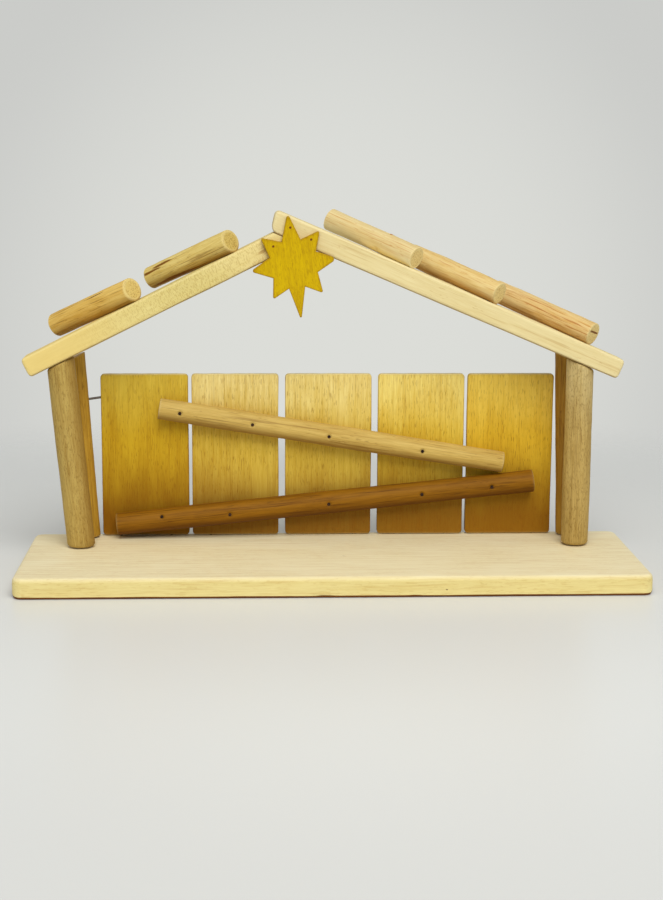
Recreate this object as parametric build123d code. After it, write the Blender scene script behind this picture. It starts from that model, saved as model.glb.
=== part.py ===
from build123d import *
import math
import os

os.makedirs("parts", exist_ok=True)

# A small wooden stable. Sizes are in millimetres, angles in degrees.
# X runs along the front to the right, Y to the back, Z up.
# The origin is the middle of the underside of the base board.

# Base board
BASE_WIDTH = 330.0
BASE_DEPTH = 100.0
BASE_THICKNESS = 10.8
BASE_CORNER = 6.0
BASE_ARRIS = 2.4
BASE_UNDER_ARRIS = 1.0

# Wall of upright boards standing on the back of the base
BOARD_WIDTH = 48.4
BOARD_HEIGHT = 91.7
BOARD_THICKNESS = 4.0
BOARD_CORNER = 2.0
BOARD_ARRIS = 0.5
BOARD_GAPS = (1.8, 3.6, 3.6, 1.8)

# Round posts, the leans counted positive away from the middle
POST_DIAMETER = 14.8
FRONT_POST_ROUND = 1.6
FRONT_POST_SPREAD = 135.8
FRONT_LEFT_LEAN_ANGLE = 5.2
POST_SPACING = 24.0
REAR_POST_LEAD = 1.6
REAR_POST_ROUND = 0.6
REAR_LEFT_LEAN_ANGLE = 3.9
REAR_RIGHT_LEAN_ANGLE = -2.0
REAR_LEFT_CLEARANCE = 1.2
REAR_RIGHT_CLEARANCE = 0.4
REAR_LEFT_DROP = 2.6
REAR_RIGHT_DROP = 1.0

# Roof beams, tapering from the ridge to the eaves
RIDGE_X = -16.7
RIDGE_HEIGHT = 176.2
LEFT_PITCH_ANGLE = 26.28
RIGHT_PITCH_ANGLE = 22.81
BEAM_DEPTH = 16.0
BEAM_RIDGE_HEIGHT = 11.6
BEAM_EAVE_HEIGHT = 10.9
BEAM_CORNER = 2.2
RIDGE_CORNER = 3.2
BEAM_ARRIS = 1.5
LEFT_EAVE = 15.5
RIGHT_EAVE = 19.0
RIDGE_END_ANGLE = 11.0
RIDGE_OVERHANG = 1.5

# Logs lying askew on the beams, placed by the distance of the front end from the eave
LOG_SKEW_ANGLE = 30.0
LOG_END_ROUND = 0.45
LOG_FRONT_INSET = 4.0
LEFT_LOG_PLACES = (70.0, 128.2)
LEFT_LOG_LENGTHS = (57.0, 57.3)
LEFT_LOG_DIAMETERS = (13.0, 12.4)
RIGHT_LOG_PLACES = (126.0, 77.2, 21.5)
RIGHT_LOG_LENGTHS = (57.0, 57.0, 62.0)
RIGHT_LOG_DIAMETERS = (12.0, 12.2, 12.3)
LOG_BEDDING = 0.15

# Rails nailed across the wall, heights taken on the axis at the middle of the wall
UPPER_RAIL_DIAMETER = 11.9
UPPER_RAIL_HEIGHT = 69.0
UPPER_RAIL_ANGLE = -9.12
UPPER_RAIL_INSET = 32.6
LOWER_RAIL_DIAMETER = 12.5
LOWER_RAIL_HEIGHT = 30.9
LOWER_RAIL_ANGLE = 5.88
LOWER_RAIL_LEFT_INSET = 8.4
LOWER_RAIL_RIGHT_INSET = 11.4
RAIL_GAP = 0.3
RAIL_BEDDING = 0.4
RAIL_END_ROUND = 0.6

# Flat star of eight points on the front of the ridge
STAR_SHIFT = -3.4
STAR_DROP = 10.2
STAR_THICKNESS = 3.0
STAR_SIDE_REACH = 23.3
STAR_DIAGONAL_REACH = 22.3
STAR_TOP_REACH = 27.1
STAR_BOTTOM_REACH = 30.4
STAR_LOW_REACH = 21.9
STAR_SWING_ANGLES = (0.0, 0.0, 0.0, 0.0, 2.5, 7.0, 0.0, -7.0)
STAR_NOTCH_REACH = 13.3
STAR_TILT_ANGLE = 7.5
STAR_TIP_ROUNDS = (1.6, 0.8, 0.9, 0.6, 1.0, 0.8, 0.6, 0.8)
STAR_ARRIS = 0.3

# Nails and screws: shank, head, height of the head
RAIL_NAIL = (1.1, 1.8, 0.6)
FRAME_NAIL = (1.6, 3.0, 0.7)
PIN = (1.3, 2.2, 0.6)
BRAD = (0.8, 1.2, 0.6)
SCREW = (3.0, 6.0, 2.0)
NAIL_CLEARANCE = 0.05
NAIL_SINK = 0.25
NAIL_COVER = 0.8
NAIL_POINT_RATIO = 1.5
HOLE_MOUTH = 2.0
FRAME_NAIL_GRIP = 10.0
APEX_NAIL_GRIP = 8.0
LOG_NAIL_GRIP = 6.0
LOG_NAIL_OFFSET = 3.5
APEX_NAIL_SHARE = 0.65
BRAD_GRIP = 6.0
SCREW_GRIP = 18.0
PIN_GRIP = 15.0
PIN_SPREAD = 28.0
WALL_NAIL_GRIP = 6.0
WALL_NAIL_DROP = 14.7
WALL_NAIL_RISE = 1.6
WALL_NAIL_SHARE = 0.3
UPPER_NAIL_SHIFTS = (20.0, 9.7, 0.0, 0.0)
UPPER_NAIL_LIFTS = (0.0, 0.0, 0.0, 0.0)
LOWER_NAIL_SHIFTS = (9.4, -3.0, 0.0, 0.0, -11.0)
LOWER_NAIL_LIFTS = (2.7, 0.0, 0.0, 0.0, 0.0)
RIGHT_BRAD_OFFSETS = ((-2.0, 19.1), (9.0, 12.9))
LEFT_BRAD_OFFSETS = ((-10.95, 9.2),)

# Everything below follows from the sizes above
BOARD_COUNT = len(BOARD_GAPS) + 1
BASE_TOP = BASE_THICKNESS
WALL_BACK = BASE_DEPTH / 2 - BASE_ARRIS
WALL_FRONT = WALL_BACK - BOARD_THICKNESS
WALL_MIDDLE = (WALL_BACK + WALL_FRONT) / 2
WALL_HALF = (BOARD_COUNT * BOARD_WIDTH + sum(BOARD_GAPS)) / 2
POST_RADIUS = POST_DIAMETER / 2
REAR_POST_Y = WALL_FRONT - REAR_POST_LEAD
FRONT_POST_Y = REAR_POST_Y - POST_SPACING
BEAM_FRONT = FRONT_POST_Y - BEAM_DEPTH / 2
LOG_FRONT_Y = BEAM_FRONT + LOG_FRONT_INSET
STAR_FRONT = BEAM_FRONT - STAR_THICKNESS
STAR_X = RIDGE_X + STAR_SHIFT
STAR_HEIGHT = RIDGE_HEIGHT - STAR_DROP


def tangent(angle):
    return math.tan(math.radians(angle))


def slope_vector(angle):
    return Vector(math.cos(math.radians(angle)), 0, math.sin(math.radians(angle)))


def lean_vector(lean):
    return Vector(math.sin(math.radians(lean)), 0, math.cos(math.radians(lean)))


def upward_normal(run):
    return Vector(-run.Z, 0, run.X)


def on_slope(x, slope):
    """Point on the underside of a beam at x, on the plane of the posts' axes."""
    return Vector(x, FRONT_POST_Y, RIDGE_HEIGHT + tangent(slope) * (x - RIDGE_X))


# Roof lines, both running left to right, with their upward normals
LEFT_RUN = slope_vector(LEFT_PITCH_ANGLE)
LEFT_NORMAL = upward_normal(LEFT_RUN)
RIGHT_RUN = slope_vector(-RIGHT_PITCH_ANGLE)
RIGHT_NORMAL = upward_normal(RIGHT_RUN)
RIDGE = on_slope(RIDGE_X, 0)
LEFT_POST_RISE = (
    RIDGE_HEIGHT - tangent(LEFT_PITCH_ANGLE) * (FRONT_POST_SPREAD + RIDGE_X) - BASE_TOP
) / (1 + tangent(LEFT_PITCH_ANGLE) * tangent(FRONT_LEFT_LEAN_ANGLE))
LEFT_POST_TOP_X = -FRONT_POST_SPREAD - LEFT_POST_RISE * tangent(FRONT_LEFT_LEAN_ANGLE)
LEFT_SEAT = on_slope(LEFT_POST_TOP_X, LEFT_PITCH_ANGLE)
RIGHT_SEAT = on_slope(FRONT_POST_SPREAD, -RIGHT_PITCH_ANGLE)

# Corners of the two beams on the plane of the posts' axes
LEFT_EAVE_LOW = on_slope(LEFT_POST_TOP_X - LEFT_EAVE, LEFT_PITCH_ANGLE)
LEFT_EAVE_TOP = LEFT_EAVE_LOW + LEFT_NORMAL * BEAM_EAVE_HEIGHT
LEFT_TOP_LINE = RIDGE + LEFT_NORMAL * BEAM_RIDGE_HEIGHT - LEFT_EAVE_TOP
LEFT_END = LEFT_EAVE_TOP + LEFT_TOP_LINE * (
    (RIDGE - LEFT_EAVE_TOP).dot(RIGHT_NORMAL) / LEFT_TOP_LINE.dot(RIGHT_NORMAL)
)
LAP = (RIDGE - LEFT_END).length
RIGHT_EAVE_LOW = on_slope(FRONT_POST_SPREAD + RIGHT_EAVE, -RIGHT_PITCH_ANGLE)
RIGHT_EAVE_TOP = RIGHT_EAVE_LOW + RIGHT_NORMAL * BEAM_EAVE_HEIGHT
RIGHT_END_LOW = LEFT_END - RIGHT_RUN * RIDGE_OVERHANG
RIGHT_END_TOP = (
    RIGHT_END_LOW + (RIGHT_NORMAL - RIGHT_RUN * tangent(RIDGE_END_ANGLE)) * BEAM_RIDGE_HEIGHT
)
LEFT_TOP_RUN = (LEFT_END - LEFT_EAVE_TOP).normalized()
RIGHT_TOP_RUN = (RIGHT_EAVE_TOP - RIGHT_END_TOP).normalized()


def headed(kind, length):
    """Nail along +Z, the top of its head at Z = 0."""
    shank, head, height = kind
    tip = NAIL_POINT_RATIO * shank
    outline = Polyline(
        (0, 0), (head / 2, 0), (head / 2, height), (shank / 2, height),
        (shank / 2, length - tip), (0, length), close=True,
    )
    return revolve(Plane.XZ * make_face(outline), Axis.Z)


def countersunk(kind, length):
    """Wood screw along +Z, the flat top of its conical head at Z = 0."""
    shank, head, height = kind
    outline = Polyline(
        (0, 0), (head / 2, 0), (shank / 2, height),
        (shank / 2, length - shank), (0, length), close=True,
    )
    return revolve(Plane.XZ * make_face(outline), Axis.Z)


def hole_for(kind, length):
    """Hole for a nail, open behind its head."""
    shank, head, height = kind
    low = (Align.CENTER, Align.CENTER, Align.MIN)
    shaft = Cylinder(shank / 2 + NAIL_CLEARANCE, length + NAIL_CLEARANCE, align=low)
    mouth = Cylinder(head / 2 + NAIL_CLEARANCE, height + NAIL_CLEARANCE + HOLE_MOUTH, align=low)
    return shaft + Pos(0, 0, -HOLE_MOUTH) * mouth


def screw_hole(kind, length):
    shank, head, height = kind
    low = (Align.CENTER, Align.CENTER, Align.MIN)
    shaft = Cylinder(shank / 2 + NAIL_CLEARANCE, length + NAIL_CLEARANCE, align=low)
    mouth = Cone(head / 2 + NAIL_CLEARANCE, shank / 2 + NAIL_CLEARANCE, height, align=low)
    return shaft + mouth


def at(origin, direction):
    return Plane(origin=origin, z_dir=direction)


class Driven:
    """A nail of one kind in one place, with the hole that it fills."""

    def __init__(self, kind, origin, direction, length):
        self.place = at(origin, direction)
        self.kind = kind
        self.length = length

    def solid(self):
        return self.place * headed(self.kind, self.length)

    def hole(self):
        return self.place * hole_for(self.kind, self.length)


class Screwed(Driven):
    """A countersunk screw in one place."""

    def solid(self):
        return self.place * countersunk(self.kind, self.length)

    def hole(self):
        return self.place * screw_hole(self.kind, self.length)


def bored(body, fasteners):
    for fastener in fasteners:
        body -= fastener.hole()
    return body


def board_middle(index):
    left = -WALL_HALF + index * BOARD_WIDTH + sum(BOARD_GAPS[:index])
    return left + BOARD_WIDTH / 2


# Feet of the posts on the base
REAR_LEFT_HALF = POST_RADIUS / math.cos(math.radians(REAR_LEFT_LEAN_ANGLE))
REAR_RIGHT_HALF = POST_RADIUS / math.cos(math.radians(REAR_RIGHT_LEAN_ANGLE))
REAR_LEFT_X = -WALL_HALF - REAR_LEFT_CLEARANCE - REAR_LEFT_HALF
REAR_RIGHT_X = (
    WALL_HALF + REAR_RIGHT_CLEARANCE + REAR_RIGHT_HALF - BOARD_HEIGHT * tangent(REAR_RIGHT_LEAN_ANGLE)
)
FRONT_LEFT_FOOT = Vector(-FRONT_POST_SPREAD, FRONT_POST_Y, BASE_TOP)
FRONT_RIGHT_FOOT = Vector(FRONT_POST_SPREAD, FRONT_POST_Y, BASE_TOP)
REAR_LEFT_FOOT = Vector(REAR_LEFT_X, REAR_POST_Y, BASE_TOP)
REAR_RIGHT_FOOT = Vector(REAR_RIGHT_X, REAR_POST_Y, BASE_TOP)


def post_screw(foot):
    return Screwed(SCREW, Vector(foot.X, foot.Y, 0), (0, 0, 1), BASE_TOP + SCREW_GRIP)


def board_pins(index):
    length = BASE_TOP + PIN_GRIP
    return [
        Driven(PIN, (board_middle(index) + side * PIN_SPREAD / 2, WALL_MIDDLE, 0), (0, 0, 1), length)
        for side in (-1, 1)
    ]


def rail_axis_y(diameter):
    return WALL_FRONT - diameter / 2 + RAIL_BEDDING


def rail_nail(index, shift, lift, diameter, height, slope):
    """Nail through a rail and a board, lifted from the rail's axis, its head on the round."""
    x = board_middle(index) + shift
    y = rail_axis_y(diameter) - math.sqrt((diameter / 2) ** 2 - lift ** 2) + NAIL_SINK
    length = WALL_BACK - NAIL_COVER - y
    return Driven(RAIL_NAIL, (x, y, height + tangent(slope) * x + lift), (0, 1, 0), length)


def upper_nails():
    size = (UPPER_RAIL_DIAMETER, UPPER_RAIL_HEIGHT, UPPER_RAIL_ANGLE)
    places = zip(UPPER_NAIL_SHIFTS, UPPER_NAIL_LIFTS)
    return [rail_nail(index, *place, *size) for index, place in enumerate(places)]


def lower_nails():
    size = (LOWER_RAIL_DIAMETER, LOWER_RAIL_HEIGHT, LOWER_RAIL_ANGLE)
    places = zip(LOWER_NAIL_SHIFTS, LOWER_NAIL_LIFTS)
    return [rail_nail(index, *place, *size) for index, place in enumerate(places)]


def wall_nail():
    """Nail from the left rear post into the first board, below the lower of their tops."""
    lean = lean_vector(-REAR_LEFT_LEAN_ANGLE)
    reach = ((LEFT_SEAT - REAR_LEFT_FOOT).dot(LEFT_NORMAL) - REAR_LEFT_DROP) / lean.dot(LEFT_NORMAL)
    rise = min(reach * lean.Z, BOARD_HEIGHT) - WALL_NAIL_DROP
    axis = REAR_LEFT_FOOT + lean * (rise / lean.Z)
    edge = Vector(-WALL_HALF, WALL_FRONT + WALL_NAIL_SHARE * BOARD_THICKNESS, axis.Z + WALL_NAIL_RISE)
    run = (edge - axis).normalized()
    start = axis - run * (POST_RADIUS - NAIL_SINK)
    return Driven(PIN, start, run, (edge - start).length + WALL_NAIL_GRIP)


def beam_height(distance, length):
    """Height of a beam at a distance from its eave."""
    return BEAM_EAVE_HEIGHT + (BEAM_RIDGE_HEIGHT - BEAM_EAVE_HEIGHT) * distance / length


def beam_nail(seat, eave, length, normal):
    height = beam_height((seat - eave).length, length) - NAIL_SINK
    return Driven(FRAME_NAIL, seat + normal * height, normal * -1, height + FRAME_NAIL_GRIP)


LEFT_BEAM_NAIL = beam_nail(LEFT_SEAT, LEFT_EAVE_LOW, (RIDGE - LEFT_EAVE_LOW).length, LEFT_NORMAL)
RIGHT_BEAM_NAIL = beam_nail(
    RIGHT_SEAT, RIGHT_EAVE_LOW, (RIGHT_END_LOW - RIGHT_EAVE_LOW).length, RIGHT_NORMAL
)


def apex_nail():
    seat = RIDGE - RIGHT_RUN * (LAP * APEX_NAIL_SHARE)
    height = BEAM_RIDGE_HEIGHT - 2 * NAIL_SINK
    return Driven(FRAME_NAIL, seat + RIGHT_NORMAL * height, RIGHT_NORMAL * -1, height + APEX_NAIL_GRIP)


def star_brads(offsets):
    length = STAR_THICKNESS + BRAD_GRIP
    return [
        Driven(BRAD, (STAR_X + right, STAR_FRONT, STAR_HEIGHT + up), (0, 1, 0), length)
        for right, up in offsets
    ]


class Lying:
    """A log on the top of a beam: its front end, its axis and its nail from below."""

    def __init__(self, eave_top, run, up_hill, distance, diameter, length):
        self.normal = upward_normal(run)
        self.radius = diameter / 2
        self.length = length
        foot = eave_top + run * (up_hill * distance)
        foot = Vector(foot.X, LOG_FRONT_Y, foot.Z)
        self.front = foot + self.normal * (self.radius - LOG_BEDDING)
        skew = math.radians(LOG_SKEW_ANGLE)
        self.axis = run * -math.cos(skew) + Vector(0, math.sin(skew), 0)

    def nail(self):
        y = FRONT_POST_Y + LOG_NAIL_OFFSET
        along = (y - LOG_FRONT_Y) / math.sin(math.radians(LOG_SKEW_ANGLE))
        depth = self.radius - LOG_BEDDING + BEAM_EAVE_HEIGHT - NAIL_SINK
        start = self.front + self.axis * along - self.normal * depth
        return Driven(PIN, start, self.normal, BEAM_EAVE_HEIGHT + LOG_NAIL_GRIP)


LEFT_LOGS = [
    Lying(LEFT_EAVE_TOP, LEFT_TOP_RUN, 1, *size)
    for size in zip(LEFT_LOG_PLACES, LEFT_LOG_DIAMETERS, LEFT_LOG_LENGTHS)
]
RIGHT_LOGS = [
    Lying(RIGHT_EAVE_TOP, RIGHT_TOP_RUN, -1, *size)
    for size in zip(RIGHT_LOG_PLACES, RIGHT_LOG_DIAMETERS, RIGHT_LOG_LENGTHS)
]


def base_board():
    block = Pos(0, 0, BASE_THICKNESS / 2) * Box(BASE_WIDTH, BASE_DEPTH, BASE_THICKNESS)
    block = fillet(block.edges().filter_by(Axis.Z), BASE_CORNER)
    block = fillet(block.faces().sort_by(Axis.Z)[-1].edges(), BASE_ARRIS)
    block = fillet(block.faces().sort_by(Axis.Z)[0].edges(), BASE_UNDER_ARRIS)
    pins = [pin for index in range(BOARD_COUNT) for pin in board_pins(index)]
    return bored(block, POST_SCREWS + pins)


def back_board(index):
    block = Box(BOARD_WIDTH, BOARD_THICKNESS, BOARD_HEIGHT)
    block = fillet(block.edges().filter_by(Axis.Y), BOARD_CORNER)
    block = fillet(block.faces().sort_by(Axis.Y)[0].edges(), BOARD_ARRIS)
    block = fillet(block.faces().sort_by(Axis.Y)[-1].edges(), BOARD_ARRIS)
    block = Pos(board_middle(index), WALL_MIDDLE, BASE_TOP + BOARD_HEIGHT / 2) * block
    nails = board_pins(index) + lower_nails()[index:index + 1] + upper_nails()[index:index + 1]
    if index == 0:
        nails.append(wall_nail())
    return bored(block, nails)


def post(foot, direction, roof_point, roof_normal, rounding, fasteners):
    """Round post from its foot on the base to a top cut along the roof."""
    long_rod = at(foot, direction) * Cylinder(POST_RADIUS, 2 * RIDGE_HEIGHT)
    standing = split(long_rod, Plane(origin=foot, z_dir=(0, 0, 1)), Keep.TOP)
    cut = split(standing, Plane(origin=roof_point, z_dir=roof_normal), Keep.BOTTOM)
    cut = fillet(cut.faces().sort_by(Axis.Z)[-1].edges(), rounding)
    return bored(cut, fasteners)


def front_post_left():
    nails = [post_screw(FRONT_LEFT_FOOT), LEFT_BEAM_NAIL]
    lean = lean_vector(-FRONT_LEFT_LEAN_ANGLE)
    return post(FRONT_LEFT_FOOT, lean, LEFT_SEAT, LEFT_NORMAL, FRONT_POST_ROUND, nails)


def front_post_right():
    nails = [post_screw(FRONT_RIGHT_FOOT), RIGHT_BEAM_NAIL]
    return post(FRONT_RIGHT_FOOT, Vector(0, 0, 1), RIGHT_SEAT, RIGHT_NORMAL, FRONT_POST_ROUND, nails)


def rear_post_left():
    top = LEFT_SEAT - LEFT_NORMAL * REAR_LEFT_DROP
    nails = [post_screw(REAR_LEFT_FOOT), wall_nail()]
    lean = lean_vector(-REAR_LEFT_LEAN_ANGLE)
    return post(REAR_LEFT_FOOT, lean, top, LEFT_NORMAL, REAR_POST_ROUND, nails)


def rear_post_right():
    top = RIGHT_SEAT - RIGHT_NORMAL * REAR_RIGHT_DROP
    lean = lean_vector(REAR_RIGHT_LEAN_ANGLE)
    screws = [post_screw(REAR_RIGHT_FOOT)]
    return post(REAR_RIGHT_FOOT, lean, top, RIGHT_NORMAL, REAR_POST_ROUND, screws)


def beam(corners):
    """Batten with the given outline, as deep as the beams are."""
    outline = [Vector(corner.X, BEAM_FRONT, corner.Z) for corner in corners]
    side = make_face(Polyline(*outline, close=True))
    return extrude(side, BEAM_DEPTH, dir=(0, 1, 0))


def off_joint(edge):
    """True for an edge that does not lie in the joint at the ridge."""
    ends = [edge.position_at(0), edge.position_at(1)]
    return any(abs((end - RIDGE).dot(RIGHT_NORMAL)) > NAIL_CLEARANCE for end in ends)


def rounded_batten(corners, roundings, kept):
    """Batten with some of its corners rounded, then its arrises where the test keeps them."""
    batten = beam(corners)
    for corner, rounding in zip(corners, roundings):
        if rounding:
            uprights = batten.edges().filter_by(Axis.Y)
            batten = fillet(uprights.sort_by_distance(corner)[0], rounding)
    faces = batten.faces().sort_by(Axis.Y)
    arrises = faces[0].edges() + faces[-1].edges()
    return fillet([edge for edge in arrises if kept(edge)], BEAM_ARRIS)


def roof_beam_left():
    corners = [LEFT_EAVE_LOW, RIDGE, LEFT_END, LEFT_EAVE_TOP]
    batten = rounded_batten(corners, (BEAM_CORNER, 0, 0, BEAM_CORNER), off_joint)
    nails = [LEFT_BEAM_NAIL, apex_nail()] + [log.nail() for log in LEFT_LOGS]
    return bored(batten, nails + star_brads(LEFT_BRAD_OFFSETS))


def roof_beam_right():
    corners = [RIGHT_END_LOW, RIGHT_EAVE_LOW, RIGHT_EAVE_TOP, RIGHT_END_TOP]
    roundings = (RIDGE_CORNER, BEAM_CORNER, BEAM_CORNER, RIDGE_CORNER)
    batten = rounded_batten(corners, roundings, lambda edge: True)
    nails = [RIGHT_BEAM_NAIL, apex_nail()] + [log.nail() for log in RIGHT_LOGS]
    return bored(batten, nails + star_brads(RIGHT_BRAD_OFFSETS))


def roof_log(lying, batten):
    """Log bedded a little into its seat on the beam."""
    rod = Cylinder(lying.radius, lying.length, align=(Align.CENTER, Align.CENTER, Align.MIN))
    rod = fillet(rod.edges().filter_by(GeomType.CIRCLE), LOG_END_ROUND)
    rod = at(lying.front, lying.axis) * rod
    return bored(rod - batten, [lying.nail()])


def upper_rail_end():
    """The upper rail runs down until its lower edge is a gap away from the lower rail."""
    upper = UPPER_RAIL_DIAMETER / 2
    lower = (LOWER_RAIL_DIAMETER / 2 + RAIL_GAP) / math.cos(math.radians(LOWER_RAIL_ANGLE))
    tilt = math.radians(UPPER_RAIL_ANGLE)
    fall = tangent(LOWER_RAIL_ANGLE) - tangent(UPPER_RAIL_ANGLE)
    edge = upper * math.cos(tilt) + tangent(LOWER_RAIL_ANGLE) * upper * math.sin(tilt)
    return (UPPER_RAIL_HEIGHT - LOWER_RAIL_HEIGHT - edge - lower) / fall


def rail(diameter, height, slope, start, stop, nails):
    """Round rod from start to stop along X, with a flat where it lies on the wall."""
    y = rail_axis_y(diameter)
    first = Vector(start, y, height + tangent(slope) * start)
    last = Vector(stop, y, height + tangent(slope) * stop)
    run = last - first
    rod = Cylinder(diameter / 2, run.length, align=(Align.CENTER, Align.CENTER, Align.MIN))
    rod = fillet(rod.edges().filter_by(GeomType.CIRCLE), RAIL_END_ROUND)
    rod = at(first, run) * rod
    rod = split(rod, Plane(origin=(0, WALL_FRONT, 0), z_dir=(0, 1, 0)), Keep.BOTTOM)
    return bored(rod, nails)


def rail_upper():
    size = (UPPER_RAIL_DIAMETER, UPPER_RAIL_HEIGHT, UPPER_RAIL_ANGLE)
    return rail(*size, UPPER_RAIL_INSET - WALL_HALF, upper_rail_end(), upper_nails())


def rail_lower():
    size = (LOWER_RAIL_DIAMETER, LOWER_RAIL_HEIGHT, LOWER_RAIL_ANGLE)
    start = LOWER_RAIL_LEFT_INSET - WALL_HALF
    return rail(*size, start, WALL_HALF - LOWER_RAIL_RIGHT_INSET, lower_nails())


def star():
    """Eight points and eight notches, the low diagonal points swung downwards."""
    side, diagonal, low = STAR_SIDE_REACH, STAR_DIAGONAL_REACH, STAR_LOW_REACH
    reaches = (side, diagonal, STAR_TOP_REACH, diagonal, side, low, STAR_BOTTOM_REACH, low)
    count = len(reaches)
    angles = [360 * step / count + STAR_TILT_ANGLE + STAR_SWING_ANGLES[step] for step in range(count)]
    middle = Vector(STAR_X, STAR_FRONT, STAR_HEIGHT)
    tips = [middle + slope_vector(angle) * reach for angle, reach in zip(angles, reaches)]
    following = angles[1:] + [angles[0] + 360]
    notches = [
        middle + slope_vector((angle + after) / 2) * STAR_NOTCH_REACH
        for angle, after in zip(angles, following)
    ]
    corners = [corner for pair in zip(tips, notches) for corner in pair]
    plate = extrude(make_face(Polyline(*corners, close=True)), STAR_THICKNESS, dir=(0, 1, 0))
    for tip, rounding in zip(tips, STAR_TIP_ROUNDS):
        plate = fillet(plate.edges().filter_by(Axis.Y).sort_by_distance(tip)[0], rounding)
    plate = chamfer(plate.faces().sort_by(Axis.Y)[0].edges(), STAR_ARRIS)
    return bored(plate, star_brads(LEFT_BRAD_OFFSETS + RIGHT_BRAD_OFFSETS))


def group(fasteners):
    return Compound(children=[fastener.solid() for fastener in fasteners])


def save(name, shape):
    export_step(shape, f"parts/{name}.step")


POST_SCREWS = [
    post_screw(foot) for foot in (FRONT_LEFT_FOOT, FRONT_RIGHT_FOOT, REAR_LEFT_FOOT, REAR_RIGHT_FOOT)
]

save("base_board", base_board())
save("front_post_left", front_post_left())
save("front_post_right", front_post_right())
save("rear_post_left", rear_post_left())
save("rear_post_right", rear_post_right())
LEFT_BATTEN = roof_beam_left()
RIGHT_BATTEN = roof_beam_right()
save("roof_beam_left", LEFT_BATTEN)
save("roof_beam_right", RIGHT_BATTEN)
for number, lying in enumerate(LEFT_LOGS, 1):
    save(f"roof_log_left_{number}", roof_log(lying, LEFT_BATTEN))
for number, lying in enumerate(RIGHT_LOGS, 1):
    save(f"roof_log_right_{number}", roof_log(lying, RIGHT_BATTEN))
for number in range(BOARD_COUNT):
    save(f"back_board_{number + 1}", back_board(number))
save("rail_upper", rail_upper())
save("rail_lower", rail_lower())
save("star", star())
save("rail_nails", group(upper_nails() + lower_nails()))
save("star_brads", group(star_brads(LEFT_BRAD_OFFSETS + RIGHT_BRAD_OFFSETS)))
save("beam_nails", group([LEFT_BEAM_NAIL, RIGHT_BEAM_NAIL]))
save("apex_nail", group([apex_nail()]))
save("log_nails", group([lying.nail() for lying in LEFT_LOGS + RIGHT_LOGS]))
save("post_screws", group(POST_SCREWS))
save("board_pins", group([pin for index in range(BOARD_COUNT) for pin in board_pins(index)]))
save("wall_nail", group([wall_nail()]))
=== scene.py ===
import logging
import math
from dataclasses import dataclass, replace
from enum import Enum

import bpy
import numpy as np
from mathutils import Color, Matrix, Vector


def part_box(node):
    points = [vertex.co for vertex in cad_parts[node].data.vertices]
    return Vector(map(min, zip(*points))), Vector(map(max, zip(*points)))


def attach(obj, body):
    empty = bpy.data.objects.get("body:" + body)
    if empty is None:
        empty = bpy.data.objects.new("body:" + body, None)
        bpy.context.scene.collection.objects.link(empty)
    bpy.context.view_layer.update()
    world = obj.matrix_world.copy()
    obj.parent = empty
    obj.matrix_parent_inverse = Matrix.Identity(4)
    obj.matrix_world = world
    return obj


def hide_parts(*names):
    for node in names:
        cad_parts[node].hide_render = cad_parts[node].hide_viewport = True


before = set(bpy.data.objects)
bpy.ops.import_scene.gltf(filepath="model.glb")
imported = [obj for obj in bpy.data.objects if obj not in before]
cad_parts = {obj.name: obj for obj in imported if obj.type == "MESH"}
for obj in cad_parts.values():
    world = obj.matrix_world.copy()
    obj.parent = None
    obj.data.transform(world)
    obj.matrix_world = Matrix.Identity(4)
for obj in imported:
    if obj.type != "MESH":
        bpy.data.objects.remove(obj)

# A small wooden stable, dressed over its construction model. The model's frame is in metres;
# the pieces here are worked out in millimetres along their own axes and put in place at the end.

LOG = logging.getLogger("stable")
MM = 0.001
BODY = "root"
DEPTH = np.array([0.0, 1.0, 0.0])
QUARTER = math.pi / 2
FULL_LEVEL = 255

# Reading the construction model: cosines that tell sides, flats and ends apart, decimals that make two
# normals or two points the same, and the share of a nail's width and the depth that its head takes.
SIDE_LIMIT = 0.25
FLAT_LIMIT = 0.5
END_LIMIT = 0.6
AXIS_ROUNDS = 3
NORMAL_DIGITS = 3
POINT_DIGITS = 4
SMALLEST_AREA = 1e-12
HEAD_SHARE = 0.9
HEAD_TOP = 0.05

# Working a surface: plane waves in its unevenness and the spread of how close their crests lie, the least
# depth of a rim, and the share of a flat at which the samples beside a corner lie.
WAVES = 8
WAVE_SPREAD = (0.6, 1.6)
LEAST_RIM = 0.05
CLOSE_SHARE = 0.012

# Sockets of a Mix node that mixes colours, and the roughness of every noise.
MIX_SHARE, MIX_FIRST, MIX_SECOND, MIX_RESULT = 0, 6, 7, 2
NOISE_ROUGHNESS = 0.55

Colour = tuple[float, float, float]
Triple = tuple[float, float, float]
Span = tuple[float, float]
Counts = tuple[int, int, int]
Paint = Colour | bpy.types.NodeSocket
Array = np.ndarray


def linear(colour: Colour) -> tuple[float, ...]:
    """Turns a display colour of 0 to 255 into the linear colour, with an alpha of one, of a shader."""
    shown = Color([level / FULL_LEVEL for level in colour])
    return (*shown.from_srgb_to_scene_linear(), 1.0)


def smooth(values: Array) -> Array:
    """Eases values from zero to one: three squares less two cubes, clipped at both ends."""
    held = np.clip(values, 0, 1)
    return held * held * (3 - 2 * held)


def risen(values: Array, start: float) -> Array:
    """Eases values that rise to one: zero up to the start, and one at one."""
    return smooth((values - start) / (1 - start))


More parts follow.
